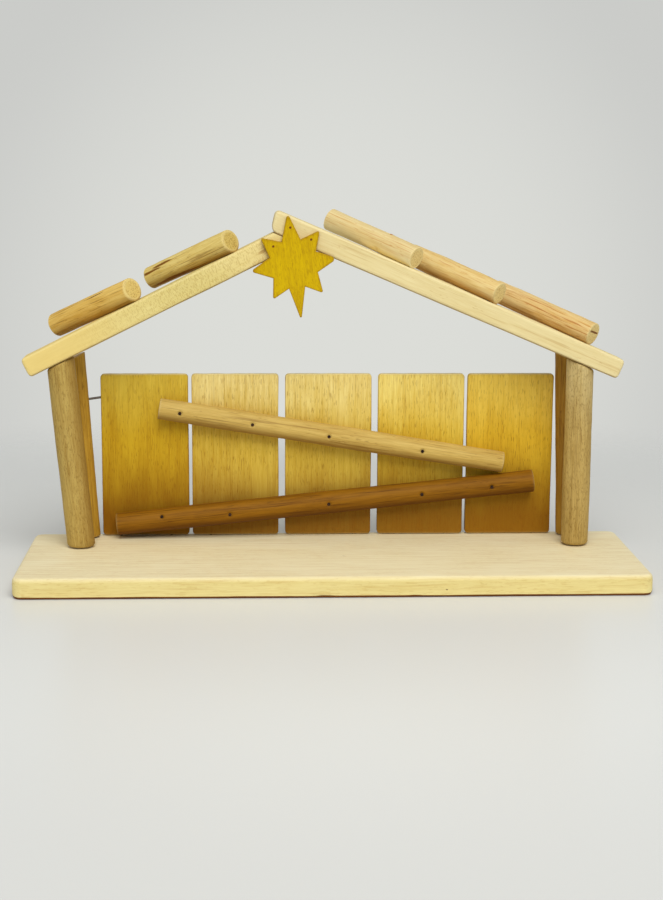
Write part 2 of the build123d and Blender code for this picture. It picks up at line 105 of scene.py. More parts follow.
def ripple(points: Array, length: float, seed: int) -> Array:
    """Slow unevenness of a worked surface.

    The height is twice the mean of several plane waves of about the given length, whose directions and
    phases are drawn from a seeded generator.

    Args:
        points: Places in millimetres, the last axis of size three.
        length: Usual length of a wave in millimetres.
        seed: Seed of the draw.

    Returns:
        Heights of about minus one to one, one for each place.
    """
    draw = np.random.default_rng(seed)
    ways = draw.normal(size=(WAVES, 3))
    ways *= draw.uniform(*WAVE_SPREAD, (WAVES, 1)) / np.linalg.norm(ways, axis=1, keepdims=True)
    phases = draw.uniform(0, math.tau, WAVES)
    return np.sin(points @ ways.T * (math.tau / length) + phases).mean(-1) * 2


class Grain(Enum):
    """Patterns of noise: a lump's size across, in depth and along in millimetres, and its finer layers."""

    FIBRE = ((0.42, 0.42, 9.0), 3.0)
    LINE = ((0.85, 0.85, 30.0), 2.0)
    BAND = ((2.6, 2.6, 70.0), 2.0)
    DRIFT = ((16.0, 16.0, 40.0), 2.0)
    RING = ((14.0, 14.0, 70.0), 2.0)
    PORE = ((0.8, 0.8, 1.4), 3.0)
    FLECK = ((0.7, 0.7, 4.0), 1.0)
    CROSS_FLECK = ((1.5, 1.5, 0.5), 1.0)
    DASH = ((0.5, 0.5, 4.5), 1.0)
    DOT = ((0.6, 0.6, 1.9), 1.0)
    BRUSH_FIBRE = ((0.6, 0.6, 9.0), 3.0)
    BRUSH_BAND = ((1.1, 1.1, 34.0), 2.0)
    BRUSH_DRIFT = ((11.0, 11.0, 16.0), 2.0)
    BRUSH_DASH = ((0.5, 0.5, 2.6), 2.0)
    RUST = ((0.8, 0.8, 0.8), 3.0)


class Flow:
    """A number that runs through a node tree; operators on it add Math nodes."""

    def __init__(self, tree: "Tree", socket: bpy.types.NodeSocket) -> None:
        """Keeps the tree and the socket that gives the number."""
        self.tree = tree
        self.socket = socket

    def math(self, operation: str, first: "Flow | float", second: "Flow | float" = 0.0) -> "Flow":
        """Adds a Math node with the named operation on two values, and gives its result."""
        node = self.tree.add("ShaderNodeMath", {"operation": operation}, {0: first, 1: second})
        return Flow(self.tree, node.outputs[0])

    def __add__(self, other: "Flow | float") -> "Flow":
        """Sum."""
        return self.math("ADD", self, other)

    __radd__ = __add__

    def __sub__(self, other: "Flow | float") -> "Flow":
        """Difference."""
        return self.math("SUBTRACT", self, other)

    def __rsub__(self, other: float) -> "Flow":
        """Difference from a number."""
        return self.math("SUBTRACT", other, self)

    def __mul__(self, other: "Flow | float") -> "Flow":
        """Product."""
        return self.math("MULTIPLY", self, other)

    __rmul__ = __mul__

    def __truediv__(self, other: "Flow | float") -> "Flow":
        """Quotient."""
        return self.math("DIVIDE", self, other)

    def __rtruediv__(self, other: float) -> "Flow":
        """Quotient of a number."""
        return self.math("DIVIDE", other, self)

    def __pow__(self, other: float) -> "Flow":
        """Power."""
        return self.math("POWER", self, other)

    def __rpow__(self, other: float) -> "Flow":
        """Power of a number."""
        return self.math("POWER", other, self)

    def swing(self) -> "Flow":
        """How far a noise lies from its middle."""
        return self - 0.5

    def fraction(self) -> "Flow":
        """Part after the point."""
        return self.math("FRACT", self)

    def larger(self, other: "Flow | float") -> "Flow":
        """The larger of two numbers."""
        return self.math("MAXIMUM", self, other)

    def eased(self, low: float, high: float) -> "Flow":
        """Rises smoothly from zero to one between two bounds, or falls where the first is the larger.

        Args:
            low: Value that gives zero.
            high: Value that gives one.

        Returns:
            The eased number.
        """
        settings = {"interpolation_type": "SMOOTHSTEP"}
        node = self.tree.add("ShaderNodeMapRange", settings, {0: self, 1: low, 2: high, 3: 0.0, 4: 1.0})
        return Flow(self.tree, node.outputs[0])


class Tree:
    """Node tree of a material or of the world."""

    def __init__(self, holder: bpy.types.Material | bpy.types.World) -> None:
        """Clears the tree of its holder.

        Args:
            holder: The material or the world.
        """
        holder.use_nodes = True
        self.holder = holder
        self.nodes = holder.node_tree.nodes
        self.links = holder.node_tree.links
        self.nodes.clear()

    def add(self, kind: str, settings: dict | None = None, sockets: dict | None = None) -> bpy.types.Node:
        """Adds any node.

        Args:
            kind: The node's type.
            settings: Properties that are set first.
            sockets: Values or links of the inputs, by name or number.

        Returns:
            The node.
        """
        node = self.nodes.new(kind)
        for key, value in (settings or {}).items():
            setattr(node, key, value)
        for key, value in (sockets or {}).items():
            source = value.socket if isinstance(value, Flow) else value
            if isinstance(source, bpy.types.NodeSocket):
                self.links.new(source, node.inputs[key])
            else:
                node.inputs[key].default_value = source
        return node

    def number(self, name: str) -> Flow:
        """A number that the mesh carries."""
        return Flow(self, self.add("ShaderNodeAttribute", {"attribute_name": name}).outputs["Fac"])

    def vector(self, name: str) -> bpy.types.NodeSocket:
        """A vector that the mesh carries."""
        return self.add("ShaderNodeAttribute", {"attribute_name": name}).outputs["Vector"]

    def vector_math(self, operation: str, first: bpy.types.NodeSocket, second: Triple) -> bpy.types.Node:
        """Adds a Vector Math node with the named operation on two vectors."""
        return self.add("ShaderNodeVectorMath", {"operation": operation}, {0: first, 1: second})

    def parts(self, vector: bpy.types.NodeSocket) -> list[Flow]:
        """The three numbers of a vector."""
        node = self.add("ShaderNodeSeparateXYZ", None, {0: vector})
        return [Flow(self, output) for output in node.outputs]

    def noise(self, vector: bpy.types.NodeSocket, grain: Grain) -> Flow:
        """Noise with the lumps of a pattern.

        Args:
            vector: Place in millimetres.
            grain: The pattern.

        Returns:
            A number of about 0.2 to 0.8.
        """
        size, detail = grain.value
        shrunk = self.vector_math("MULTIPLY", vector, tuple(1 / part for part in size)).outputs[0]
        sockets = {"Vector": shrunk, "Scale": 1.0, "Detail": detail, "Roughness": NOISE_ROUGHNESS}
        return Flow(self, self.add("ShaderNodeTexNoise", None, sockets).outputs[0])

    def mix(self, share: Flow, first: Paint, second: Paint, blend: str = "MIX") -> bpy.types.NodeSocket:
        """Mixes two colours.

        Args:
            share: How much of the second.
            first: Display colour or socket.
            second: Display colour or socket.
            blend: How the second is laid on the first.

        Returns:
            The mixed colour.
        """
        below, above = (linear(paint) if isinstance(paint, tuple) else paint for paint in (first, second))
        settings = {"data_type": "RGBA", "blend_type": blend, "clamp_factor": True}
        sockets = {MIX_SHARE: share, MIX_FIRST: below, MIX_SECOND: above}
        return self.add("ShaderNodeMix", settings, sockets).outputs[MIX_RESULT]

    def bump(self, height: Flow, depth: float, strength: float) -> bpy.types.NodeSocket:
        """Turns a height into a bent normal, by the depth of a full step in metres."""
        sockets = {"Strength": strength, "Distance": depth, "Height": height}
        return self.add("ShaderNodeBump", None, sockets).outputs[0]

    def finish(self, sockets: dict) -> bpy.types.Material:
        """Ends the tree in a Principled shader.

        Args:
            sockets: Inputs of the shader.

        Returns:
            The material.
        """
        shader = self.add("ShaderNodeBsdfPrincipled", None, sockets)
        self.add("ShaderNodeOutputMaterial", None, {0: shader.outputs[0]})
        return self.holder


@dataclass(frozen=True)
class Relief:
    """Height of each pattern of a wood, as a share of a full step, and that step's depth in metres."""

    fibre: float = 0.6
    fleck: float = -0.5
    streak: float = -0.4
    ring: float = -0.3
    pore: float = 0.5
    stain: float = -0.6
    depth: float = 0.00006
    strength: float = 0.7


@dataclass(frozen=True)
class Wood:
    """Finish of one kind of wood.

    Colours are display values. The pith is where the growth rings have their middle, in millimetres
    from the piece's axis; lengths are in millimetres and amounts are shares. A level is taken off a
    pattern before its amount counts, and a span gives the values between which a pattern rises.
    """

    name: str
    light: Colour
    dark: Colour
    streak: Colour
    body_level: float = 0.25
    contrast: Span = (0.3, 0.7)
    pith: tuple[float, float] = (26.0, 9.0)
    ring_width: float = 2.2
    ring_amount: float = 0.35
    ring_edge: Span = (0.93, 1.0)
    wander: float = 3.0
    fibre_amount: float = 0.5
    fibre_level: float = 0.3
    band_amount: float = 0.3
    band_level: float = 0.5
    blotch_amount: float = 0.3
    blotch_level: float = 0.4
    streak_amount: float = 0.5
    streak_start: float = 0.55
    streak_reach: float = 0.12
    streak_patch: Span = (0.34, 0.56)
    fleck: Grain = Grain.FLECK
    fleck_amount: float = 0.45
    fleck_start: float = 0.66
    fleck_reach: float = 0.06
    fleck_patch: float = 0.36
    patch_reach: float = 0.16
    fleck_from: float = 0.0
    fleck_fade: float = 0.25
    end_light: Colour = (214, 190, 128)
    end_dark: Colour = (168, 132, 70)
    end_ring_amount: float = 0.2
    pore_amount: float = 0.8
    pore_span: Span = (0.45, 0.7)
    edge_colour: Colour = (236, 218, 160)
    edge_amount: float = 0.25
    edge_level: float = 0.4
    rim_colour: Colour | None = None
    side_colour: Colour = (236, 210, 132)
    side_amount: float = 0.0
    mid_colour: Colour = (230, 208, 120)
    mid_amount: float = 0.0
    mid_span: Span = (-0.02, 0.42)
    low_colour: Colour = (150, 104, 20)
    low_amount: float = 0.0
    low_span: Span = (0.4, 0.95)
    fall_wander: float = 0.2
    # Painted shading: the shaded side of a piece (the underside of a lying piece, the inner side of a post)
    # takes its own colour, mostly a painted shade and for one log a painted light.
    shaded_side_colour: Colour = (132, 92, 40)
    shaded_side_amount: float = 0.0
    shaded_side_start: float = 0.0
    shaded_side_reach: float = 0.9
    shaded_side_wander: float = 0.4
    stain_colour: Colour = (104, 62, 18)
    stain_span: Span = (0.42, 0.62)
    stain_limit: Span = (0.02, 0.3)
    stain_wander: float = 1.6
    roughness: float = 0.62
    rough_fibre: float = 0.25
    rough_drift: float = 0.1
    gloss: float = 0.14
    relief: Relief = Relief()
    place: Triple = (0.0, 0.0, 0.0)

    def numbered(self, number: int, step: Triple) -> "Wood":
        """The same wood under a name of its own, from so many steps further into the grain."""
        place = tuple(part * number for part in step)
        return replace(self, name=f"{self.name}_{number}", place=place)

    def rings(self, tree: Tree, point: bpy.types.NodeSocket) -> Flow:
        """Growth rings: a soft rise of darkness across each ring that ends sharply.

        The distance from the pith, made to wander by slow noise, is divided by the ring's width, and
        the fraction is raised to the third power.

        Args:
            tree: The material's tree.
            point: Place in the wood.

        Returns:
            Darkness of zero to one.
        """
        across, deep, _ = tree.parts(point)
        drift = tree.noise(point, Grain.RING).swing() * (2 * self.wander)
        reach = ((across - self.pith[0]) ** 2.0 + (deep - self.pith[1]) ** 2.0) ** 0.5
        turn = ((reach + drift) / self.ring_width).fraction()
        return turn ** 3.0 * (1.0 - turn.eased(*self.ring_edge))

    def flecks(self, tree: Tree, point: bpy.types.NodeSocket, slow: Flow) -> Flow:
        """Short flecks that lie in patches, from a share of the length on where the wood says so.

        Args:
            tree: The material's tree.
            point: Place in the wood.
            slow: Slow drift of tone, which makes the patches.

        Returns:
            Strength of zero to one.
        """
        speck = tree.noise(point, self.fleck).eased(self.fleck_start, self.fleck_start + self.fleck_reach)
        speck = speck * slow.eased(self.fleck_patch, self.fleck_patch + self.patch_reach)
        if self.fleck_from:
            bare = 1.0 - self.fleck_from
            speck = speck * tree.number("fall").eased(bare, bare - self.fleck_fade)
        return speck

    def tinted(self, tree: Tree, colour: bpy.types.NodeSocket, slow: Flow) -> bpy.types.NodeSocket:
        """Tints the wood on its sides, and towards its low end where it has such tints; on the wall boards
        and the right front post the tints along the length are painted light and shade.

        Args:
            tree: The material's tree.
            colour: Colour of the wood.
            slow: Slow drift of tone, which makes the tints wander.

        Returns:
            The tinted colour.
        """
        if self.side_amount:
            side = tree.number("side") * self.side_amount
            colour = tree.mix(side, colour, self.side_colour, "MULTIPLY")
        # Along the length: a multiplied tint that grows from the high end down, and a colour laid on towards
        # the low end.
        if self.mid_amount:
            fall = tree.number("fall") + slow.swing() * self.fall_wander
            middle = fall.eased(*self.mid_span) * self.mid_amount
            colour = tree.mix(middle, colour, self.mid_colour, "MULTIPLY")
            colour = tree.mix(fall.eased(*self.low_span) * self.low_amount, colour, self.low_colour)
        return colour

    def material(self) -> bpy.types.Material:
        """Builds the wood: rings, fibres, streaks and flecks over a slow drift of tone.

        Returns:
            The material.
        """
        tree = Tree(bpy.data.materials.new(self.name))
        point = tree.vector_math("ADD", tree.vector("grain"), self.place).outputs[0]
        end = tree.number("end")
        mark = tree.number("mark")
        rings = self.rings(tree, point)
        fine = tree.noise(point, Grain.FIBRE)
        lines = tree.noise(point, Grain.LINE)
        broad = tree.noise(point, Grain.BAND)
        slow = tree.noise(point, Grain.DRIFT)
        pores = tree.noise(point, Grain.PORE)
        speck = self.flecks(tree, point, slow)
        streak = lines.eased(self.streak_start, self.streak_start + self.streak_reach)
        streak = streak * broad.eased(*self.streak_patch)
        body = rings * self.ring_amount + self.body_level
        body = body + (fine.eased(*self.contrast) - self.fibre_level) * self.fibre_amount
        body = body + (broad.eased(*self.contrast) - self.band_level) * self.band_amount
        body = body + (slow.eased(*self.contrast) - self.blotch_level) * self.blotch_amount
        colour = tree.mix(body, self.light, self.dark)
        colour = tree.mix(streak * self.streak_amount, colour, self.streak)
        colour = tree.mix(speck * self.fleck_amount, colour, self.streak)
        cut = rings * self.end_ring_amount + pores.eased(*self.pore_span) * self.pore_amount
        colour = tree.mix(end, colour, tree.mix(cut, self.end_light, self.end_dark))
        stain = (mark + lines.swing() * self.stain_wander).eased(*self.stain_span)
        stain = stain * mark.eased(*self.stain_limit)
        colour = tree.mix(stain, colour, self.stain_colour)
        colour = self.tinted(tree, colour, slow)
        wear = self.edge_colour
        if self.rim_colour:
            wear = tree.mix(tree.number("rim"), wear, self.rim_colour)
        worn = tree.number("edge") * (self.edge_level + fine) * self.edge_amount
        colour = tree.mix(worn, colour, wear)
        # Painted shading on the shaded side, made ragged along the lines of the grain.
        if self.shaded_side_amount:
            low = tree.number("shaded_side") + lines.swing() * self.shaded_side_wander
            painted_shading = low.eased(self.shaded_side_start, self.shaded_side_start + self.shaded_side_reach) * self.shaded_side_amount
            colour = tree.mix(painted_shading, colour, self.shaded_side_colour)
        relief = self.relief
        height = fine * relief.fibre + speck * relief.fleck + streak * relief.streak
        height = height + rings * relief.ring + pores * end * relief.pore + stain * relief.stain
        sockets = {
            "Base Color": colour,
            "Roughness": fine.swing() * self.rough_fibre + slow.swing() * self.rough_drift + self.roughness,
            "Normal": tree.bump(height, relief.depth, relief.strength),
            "Specular IOR Level": self.gloss,
        }
        return tree.finish(sockets)


@dataclass(frozen=True)
class GoldStain:
    """Mustard gold stain brushed over the grain of the star."""

    name: str = "gold_stain"
    light: Colour = (210, 175, 0)
    dark: Colour = (172, 131, 0)
    rubbed: Colour = (146, 100, 4)
    fibre_span: Span = (0.35, 0.68)
    fibre_amount: float = 0.3
    band_span: Span = (0.4, 0.65)
    band_amount: float = 0.2
    blotch_amount: float = 0.8
    dash_span: Span = (0.52, 0.64)
    dash_amount: float = 0.35
    edge_level: float = 0.3
    edge_amount: float = 0.7
    roughness: float = 0.5
    rough_fibre: float = 0.3
    gloss: float = 0.12
    relief: Relief = Relief()

    def material(self) -> bpy.types.Material:
        """Builds the stain: streaks of the brush and grain, rubbed darker at the edges.

        Returns:
            The material.
        """
        tree = Tree(bpy.data.materials.new(self.name))
        point = tree.vector("grain")
        fine = tree.noise(point, Grain.BRUSH_FIBRE)
        broad = tree.noise(point, Grain.BRUSH_BAND)
        slow = tree.noise(point, Grain.BRUSH_DRIFT)
        dash = tree.noise(point, Grain.BRUSH_DASH).eased(*self.dash_span)
        tone = fine.eased(*self.fibre_span) * self.fibre_amount + slow.swing() * self.blotch_amount
        tone = tone + broad.eased(*self.band_span) * self.band_amount
        colour = tree.mix(tone, self.light, self.dark)
        colour = tree.mix(dash * self.dash_amount, colour, self.rubbed)
        worn = tree.number("edge") * (self.edge_level + fine) * self.edge_amount
        sockets = {
            "Base Color": tree.mix(worn, colour, self.rubbed),
            "Roughness": fine.swing() * self.rough_fibre + self.roughness,
            "Normal": tree.bump(fine, self.relief.depth, self.relief.strength),
            "Specular IOR Level": self.gloss,
        }
        return tree.finish(sockets)


@dataclass(frozen=True)
class NailSteel:
    """Dark oxidised steel of the nails and screws."""

    name: str = "nail_steel"
    dark: Colour = (34, 24, 18)
    brown: Colour = (74, 46, 28)
    rust_span: Span = (0.45, 0.65)
    roughness: float = 0.5
    rough_rust: float = 0.3
    metallic: float = 0.3
    gloss: float = 0.2
    relief: Relief = Relief(depth=0.00005, strength=0.6)

    def material(self) -> bpy.types.Material:
        """Builds the steel: brown rust in soft spots over the dark metal.

        Returns:
            The material.
        """
        tree = Tree(bpy.data.materials.new(self.name))
        place = tree.add("ShaderNodeTexCoord").outputs["Object"]
        point = tree.vector_math("MULTIPLY", place, (1 / MM, 1 / MM, 1 / MM)).outputs[0]
        spot = tree.noise(point, Grain.RUST)
        rust = spot.eased(*self.rust_span)
        sockets = {
            "Base Color": tree.mix(rust, self.dark, self.brown),
            "Roughness": rust * self.rough_rust + self.roughness,
            "Metallic": (1.0 - rust) * self.metallic,
            "Normal": tree.bump(spot, self.relief.depth, self.relief.strength),
            "Specular IOR Level": self.gloss,
        }
        return tree.finish(sockets)


@dataclass(frozen=True)
class Placement:
    """Axes of a piece in the stable's frame: across, in depth and along, with its origin in millimetres."""

    origin: Array
    axes: Array

    def inward(self, points: Array) -> Array:
        """Places in the stable's frame as places on the piece's own axes."""
        return (points - self.origin) @ self.axes.T

    def outward(self, points: Array) -> Array:
        """Places on the piece's own axes as places in the stable's frame."""
        return self.origin + points @ self.axes


@dataclass(frozen=True)
class End:
    """Plane that ends a stick: where it cuts the axis, how it leans across and in depth, its roundings."""

    at: float
    lean_x: float
    lean_y: float
    round_x: float
    round_y: float

    @property
    def depth(self) -> float:
        """Length over which the rim is rounded, with a least one for a sharp rim."""
        return max(self.round_x, self.round_y, LEAST_RIM)

    def height(self, across: Array, deep: Array) -> Array:
        """Place along the axis where the plane meets each point of the section."""
        return self.at + self.lean_x * across + self.lean_y * deep

    def rim(self, turn: Array) -> tuple[Array, Array, Array]:
        """Rings that round the rim.

        At each depth below the plane, a rounding of radius r draws the section in by r less the root of
        r squared less the square of what is left of r below that depth.

        Args:
            turn: Angle of each ring, from the plane to the side.

        Returns:
            Step of each ring from the rim's inner edge, and how far it draws in across and in depth.
        """
        down = self.depth * (1 - np.cos(turn))
        roundings = np.array([[self.round_x], [self.round_y]])
        left = np.maximum(roundings - down, 0)
        draw_x, draw_y = roundings - np.sqrt(np.maximum(roundings * roundings - left ** 2, 0))
        return down - self.depth, draw_x, draw_y


@dataclass(frozen=True)
class Stick:
    """Shape of a stick or board as it was read from the construction model, in millimetres."""

    place: Placement
    half_x: tuple[float, float]
    half_y: float
    arris: float
    low: End
    high: End


class CadNode:
    """Triangles of one node of the construction model, in millimetres."""

    def __init__(self, name: str) -> None:
        """Reads the node's triangles with their normals, areas and middles.

        Args:
            name: The node's name.
        """
        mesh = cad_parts[name].data
        mesh.calc_loop_triangles()
        points = np.empty(len(mesh.vertices) * 3)
        mesh.vertices.foreach_get("co", points)
        corners = np.empty(len(mesh.loop_triangles) * 3, int)
        mesh.loop_triangles.foreach_get("vertices", corners)
        self.points = points.reshape(-1, 3) / MM
        self.corners = corners.reshape(-1, 3)
        sides = self.points[self.corners]
        cross = np.cross(sides[:, 1] - sides[:, 0], sides[:, 2] - sides[:, 0])
        double = np.maximum(np.linalg.norm(cross, axis=1), SMALLEST_AREA)
        self.normals = cross / double[:, None]
        self.areas = double / 2
        self.middles = sides.mean(1)

    def flats(self) -> tuple[Array, Array]:
        """Gathers the triangles that face the same way.

        Returns:
            Normals and area-weighted middles of the flats, the largest first.
        """
        rounded = np.round(self.normals, NORMAL_DIGITS) + 0.0
        ways, which = np.unique(rounded, axis=0, return_inverse=True)
        which = which.ravel()
        areas = np.bincount(which, self.areas)
        sums = [np.bincount(which, self.areas * column) for column in self.middles.T]
        middles = np.stack(sums, 1) / areas[:, None]
        order = np.argsort(-areas)
        return ways[order], middles[order]

    def run(self) -> Array:
        """Direction in which the node is longest.

        Returns:
            The first principal axis of its surface.
        """
        weights = self.areas / self.areas.sum()
        centred = self.middles - weights @ self.middles
        axis = np.linalg.eigh((centred * weights[:, None]).T @ centred)[1][:, -1]
        return axis * np.sign(axis[np.argmax(np.abs(axis))])

    def turning_axis(self) -> Array:
        """Axis of a round piece.

        Returns:
            The direction that the normals of its side avoid most.
        """
        axis = self.run()
        for _ in range(AXIS_ROUNDS):
            side = np.abs(self.normals @ axis) < SIDE_LIMIT
            ways = self.normals[side]
            found = np.linalg.eigh((ways * self.areas[side, None]).T @ ways)[1][:, 0]
            axis = found * np.sign(found @ axis)
        return axis

    def end(self, place: Placement, way: int, round_x: float, round_y: float) -> End:
        """Plane of one end.

        Args:
            place: Axes of the piece.
            way: Minus one for the low end, one for the high end.
            round_x: Rounding across.
            round_y: Rounding in depth.

        Returns:
            The end.
        """
        ways, middles = self.flats()
        facing = ways @ place.axes[2] * way > END_LIMIT
        normal = place.axes @ ways[facing][0]
        middle = place.inward(middles[facing][0])
        lean = -normal[:2] / normal[2]
        return End(middle[2] - lean @ middle[:2], lean[0], lean[1], round_x, round_y)

    def rod(self, end_round: float) -> Stick:
        """Reads a round stick.

        Args:
            end_round: Rounding of its rims.

        Returns:
            Its axis, radius and ends.
        """
        along = self.turning_axis()
        deep = DEPTH - (DEPTH @ along) * along
        deep /= np.linalg.norm(deep)
        axes = np.stack([np.cross(deep, along), deep, along])
        local = self.points @ axes.T
        left, right = local[:, 0].min(), local[:, 0].max()
        radius = (right - left) / 2
        origin = np.array([(left + right) / 2, local[:, 1].min() + radius, 0.0]) @ axes
        place = Placement(origin, axes)
        low = self.end(place, -1, end_round, end_round)
        high = self.end(place, 1, end_round, end_round)
        return Stick(place, (radius, radius), radius, radius, low, high)

    def bar(self, arris: float, low: tuple[float, float], high: tuple[float, float]) -> Stick:
        """Reads a board or batten that lies square to the depth.

        Args:
            arris: Rounding of its long edges.
            low: Roundings of its low end, across and in depth.
            high: Roundings of its high end, across and in depth.

        Returns:
            Its axis, taper and ends.
        """
        along = self.run()
        ways, middles = self.flats()
        side = (np.abs(ways @ along) < FLAT_LIMIT) & (np.abs(ways @ DEPTH) < FLAT_LIMIT)
        across = np.cross(DEPTH, along)
        first = np.flatnonzero(side & (ways @ across > 0))[0]
        second = np.flatnonzero(side & (ways @ across < 0))[0]
        across = ways[first] - ways[second]
        across /= np.linalg.norm(across)
        axes = np.stack([across, DEPTH, np.cross(across, DEPTH)])
        local = self.points @ axes.T
        rise = (axes @ ways[first])[2] / (axes @ ways[first])[0]
        tops = [(axes @ middles[index])[0] for index in (first, second)]
        spots = [(axes @ middles[index])[2] for index in (first, second)]
        offset = (tops[0] + rise * spots[0] + tops[1] - rise * spots[1]) / 2
        half = (tops[0] + rise * spots[0] - tops[1] + rise * spots[1]) / 2
        front, back = local[:, 1].min(), local[:, 1].max()
        place = Placement(np.array([offset, (front + back) / 2, 0.0]) @ axes, axes)
        ends = (self.end(place, -1, *low), self.end(place, 1, *high))
        halves = (half - rise * ends[0].at, half - rise * ends[1].at)
        return Stick(place, halves, (back - front) / 2, arris, *ends)

    def solids(self) -> list[Array]:
        """Points of each separate solid of the node.

        Returns:
            One array of points for each solid.
        """
        spots, same = np.unique(np.round(self.points, POINT_DIGITS), axis=0, return_inverse=True)
        faces = same.ravel()[self.corners]
        label = np.arange(len(spots))
        before = np.full(len(spots), -1)
        while not np.array_equal(label, before):
            before = label.copy()
            lowest = label[faces].min(1)
            for corner in range(3):
                np.minimum.at(label, faces[:, corner], lowest)
        return [spots[label == value] for value in np.unique(label)]

    def heads(self) -> Array:
        """Middles of the heads of the node's nails."""
        return np.array([self.head(points) for points in self.solids()])

    @staticmethod
    def head(points: Array) -> Array:
        """Finds the head of one nail: the end of its axis round which its points lie widest.

        Args:
            points: Points of the nail.

        Returns:
            Middle of the head.
        """
        centred = points - points.mean(0)
        axis = np.linalg.svd(centred, full_matrices=False)[2][0]
        along = centred @ axis
        reach = np.linalg.norm(centred - along[:, None] * axis, axis=1)
        wide = reach > HEAD_SHARE * reach.max()
        rise = along * np.sign(along[wide].mean())
        return points[wide & (rise > rise.max() - HEAD_TOP)].mean(0)


@dataclass(frozen=True)
class Section:
    """Samples round a rounded rectangle, as shares of its flats and of its corner radius."""

    flat_x: Array
    flat_y: Array
    turn_x: Array
    turn_y: Array
    ratio: Array

    @staticmethod
    def rounded(wide: int, deep: int, arc: int, low_ratio: float = 1.0) -> "Section":
        """Lays out the samples, counter-clockwise from the right.

        Each corner is a quarter circle; the flats between corners are straight, with close samples
        beside the corners. With no samples on the flats the section is a circle.

        Args:
            wide: Samples on the flats across.
            deep: Samples on the flats in depth.
            arc: Steps in each corner.
            low_ratio: Radius of the two corners on the far side across, as a share of the arris.

        Returns:
            The section.
        """
        rows = []
        signs = ((1, 1), (-1, 1), (-1, -1), (1, -1))
        ratios = (low_ratio, 1.0, 1.0, low_ratio)
        for corner, (sign_x, sign_y) in enumerate(signs):
            flat = (wide, deep)[corner % 2]
            turn = corner * QUARTER + np.linspace(0, QUARTER, arc + bool(flat), endpoint=bool(flat))
            fixed = np.outer((sign_x, sign_y, ratios[corner]), np.ones_like(turn))
            rows.append(np.stack([fixed[0], fixed[1], np.cos(turn), np.sin(turn), fixed[2]]))
            if flat:
                close = min(CLOSE_SHARE, 0.5 / (flat + 1))
                share = np.concatenate([[close], np.linspace(0, 1, flat + 2)[1:-1], [1 - close]])
                after = signs[(corner + 1) % 4]
                ends = QUARTER * (corner + 1)
                rows.append(np.stack([
                    sign_x + (after[0] - sign_x) * share,
                    sign_y + (after[1] - sign_y) * share,
                    np.full_like(share, round(math.cos(ends))),
                    np.full_like(share, round(math.sin(ends))),
                    ratios[corner] + (ratios[(corner + 1) % 4] - ratios[corner]) * share,
                ]))
        return Section(*np.concatenate(rows, 1))

    @staticmethod
    def circle(arc: int) -> "Section":
        """Lays out a circle with the given steps in each quarter."""
        return Section.rounded(0, 0, arc)


@dataclass(frozen=True)
class Mark:
    """Flaw in a piece of wood: a stain, a hollow or both.

    The middle and the reach are shares: of the half width across, of the half depth, and of the length.
    The depth is in millimetres, less than zero where the mark stands proud, and the stain is the share of
    the stain's colour.
    """

    middle: Triple
    reach: Triple
    depth: float = 0.0
    stain: float = 0.0

    def bell(self, spots: Array) -> Array:
        """Strength of the mark at each place: a bell curve of the scaled distance."""
        away = ((spots - np.array(self.middle)) / np.array(self.reach)) ** 2
        return np.exp(-away.sum(-1))


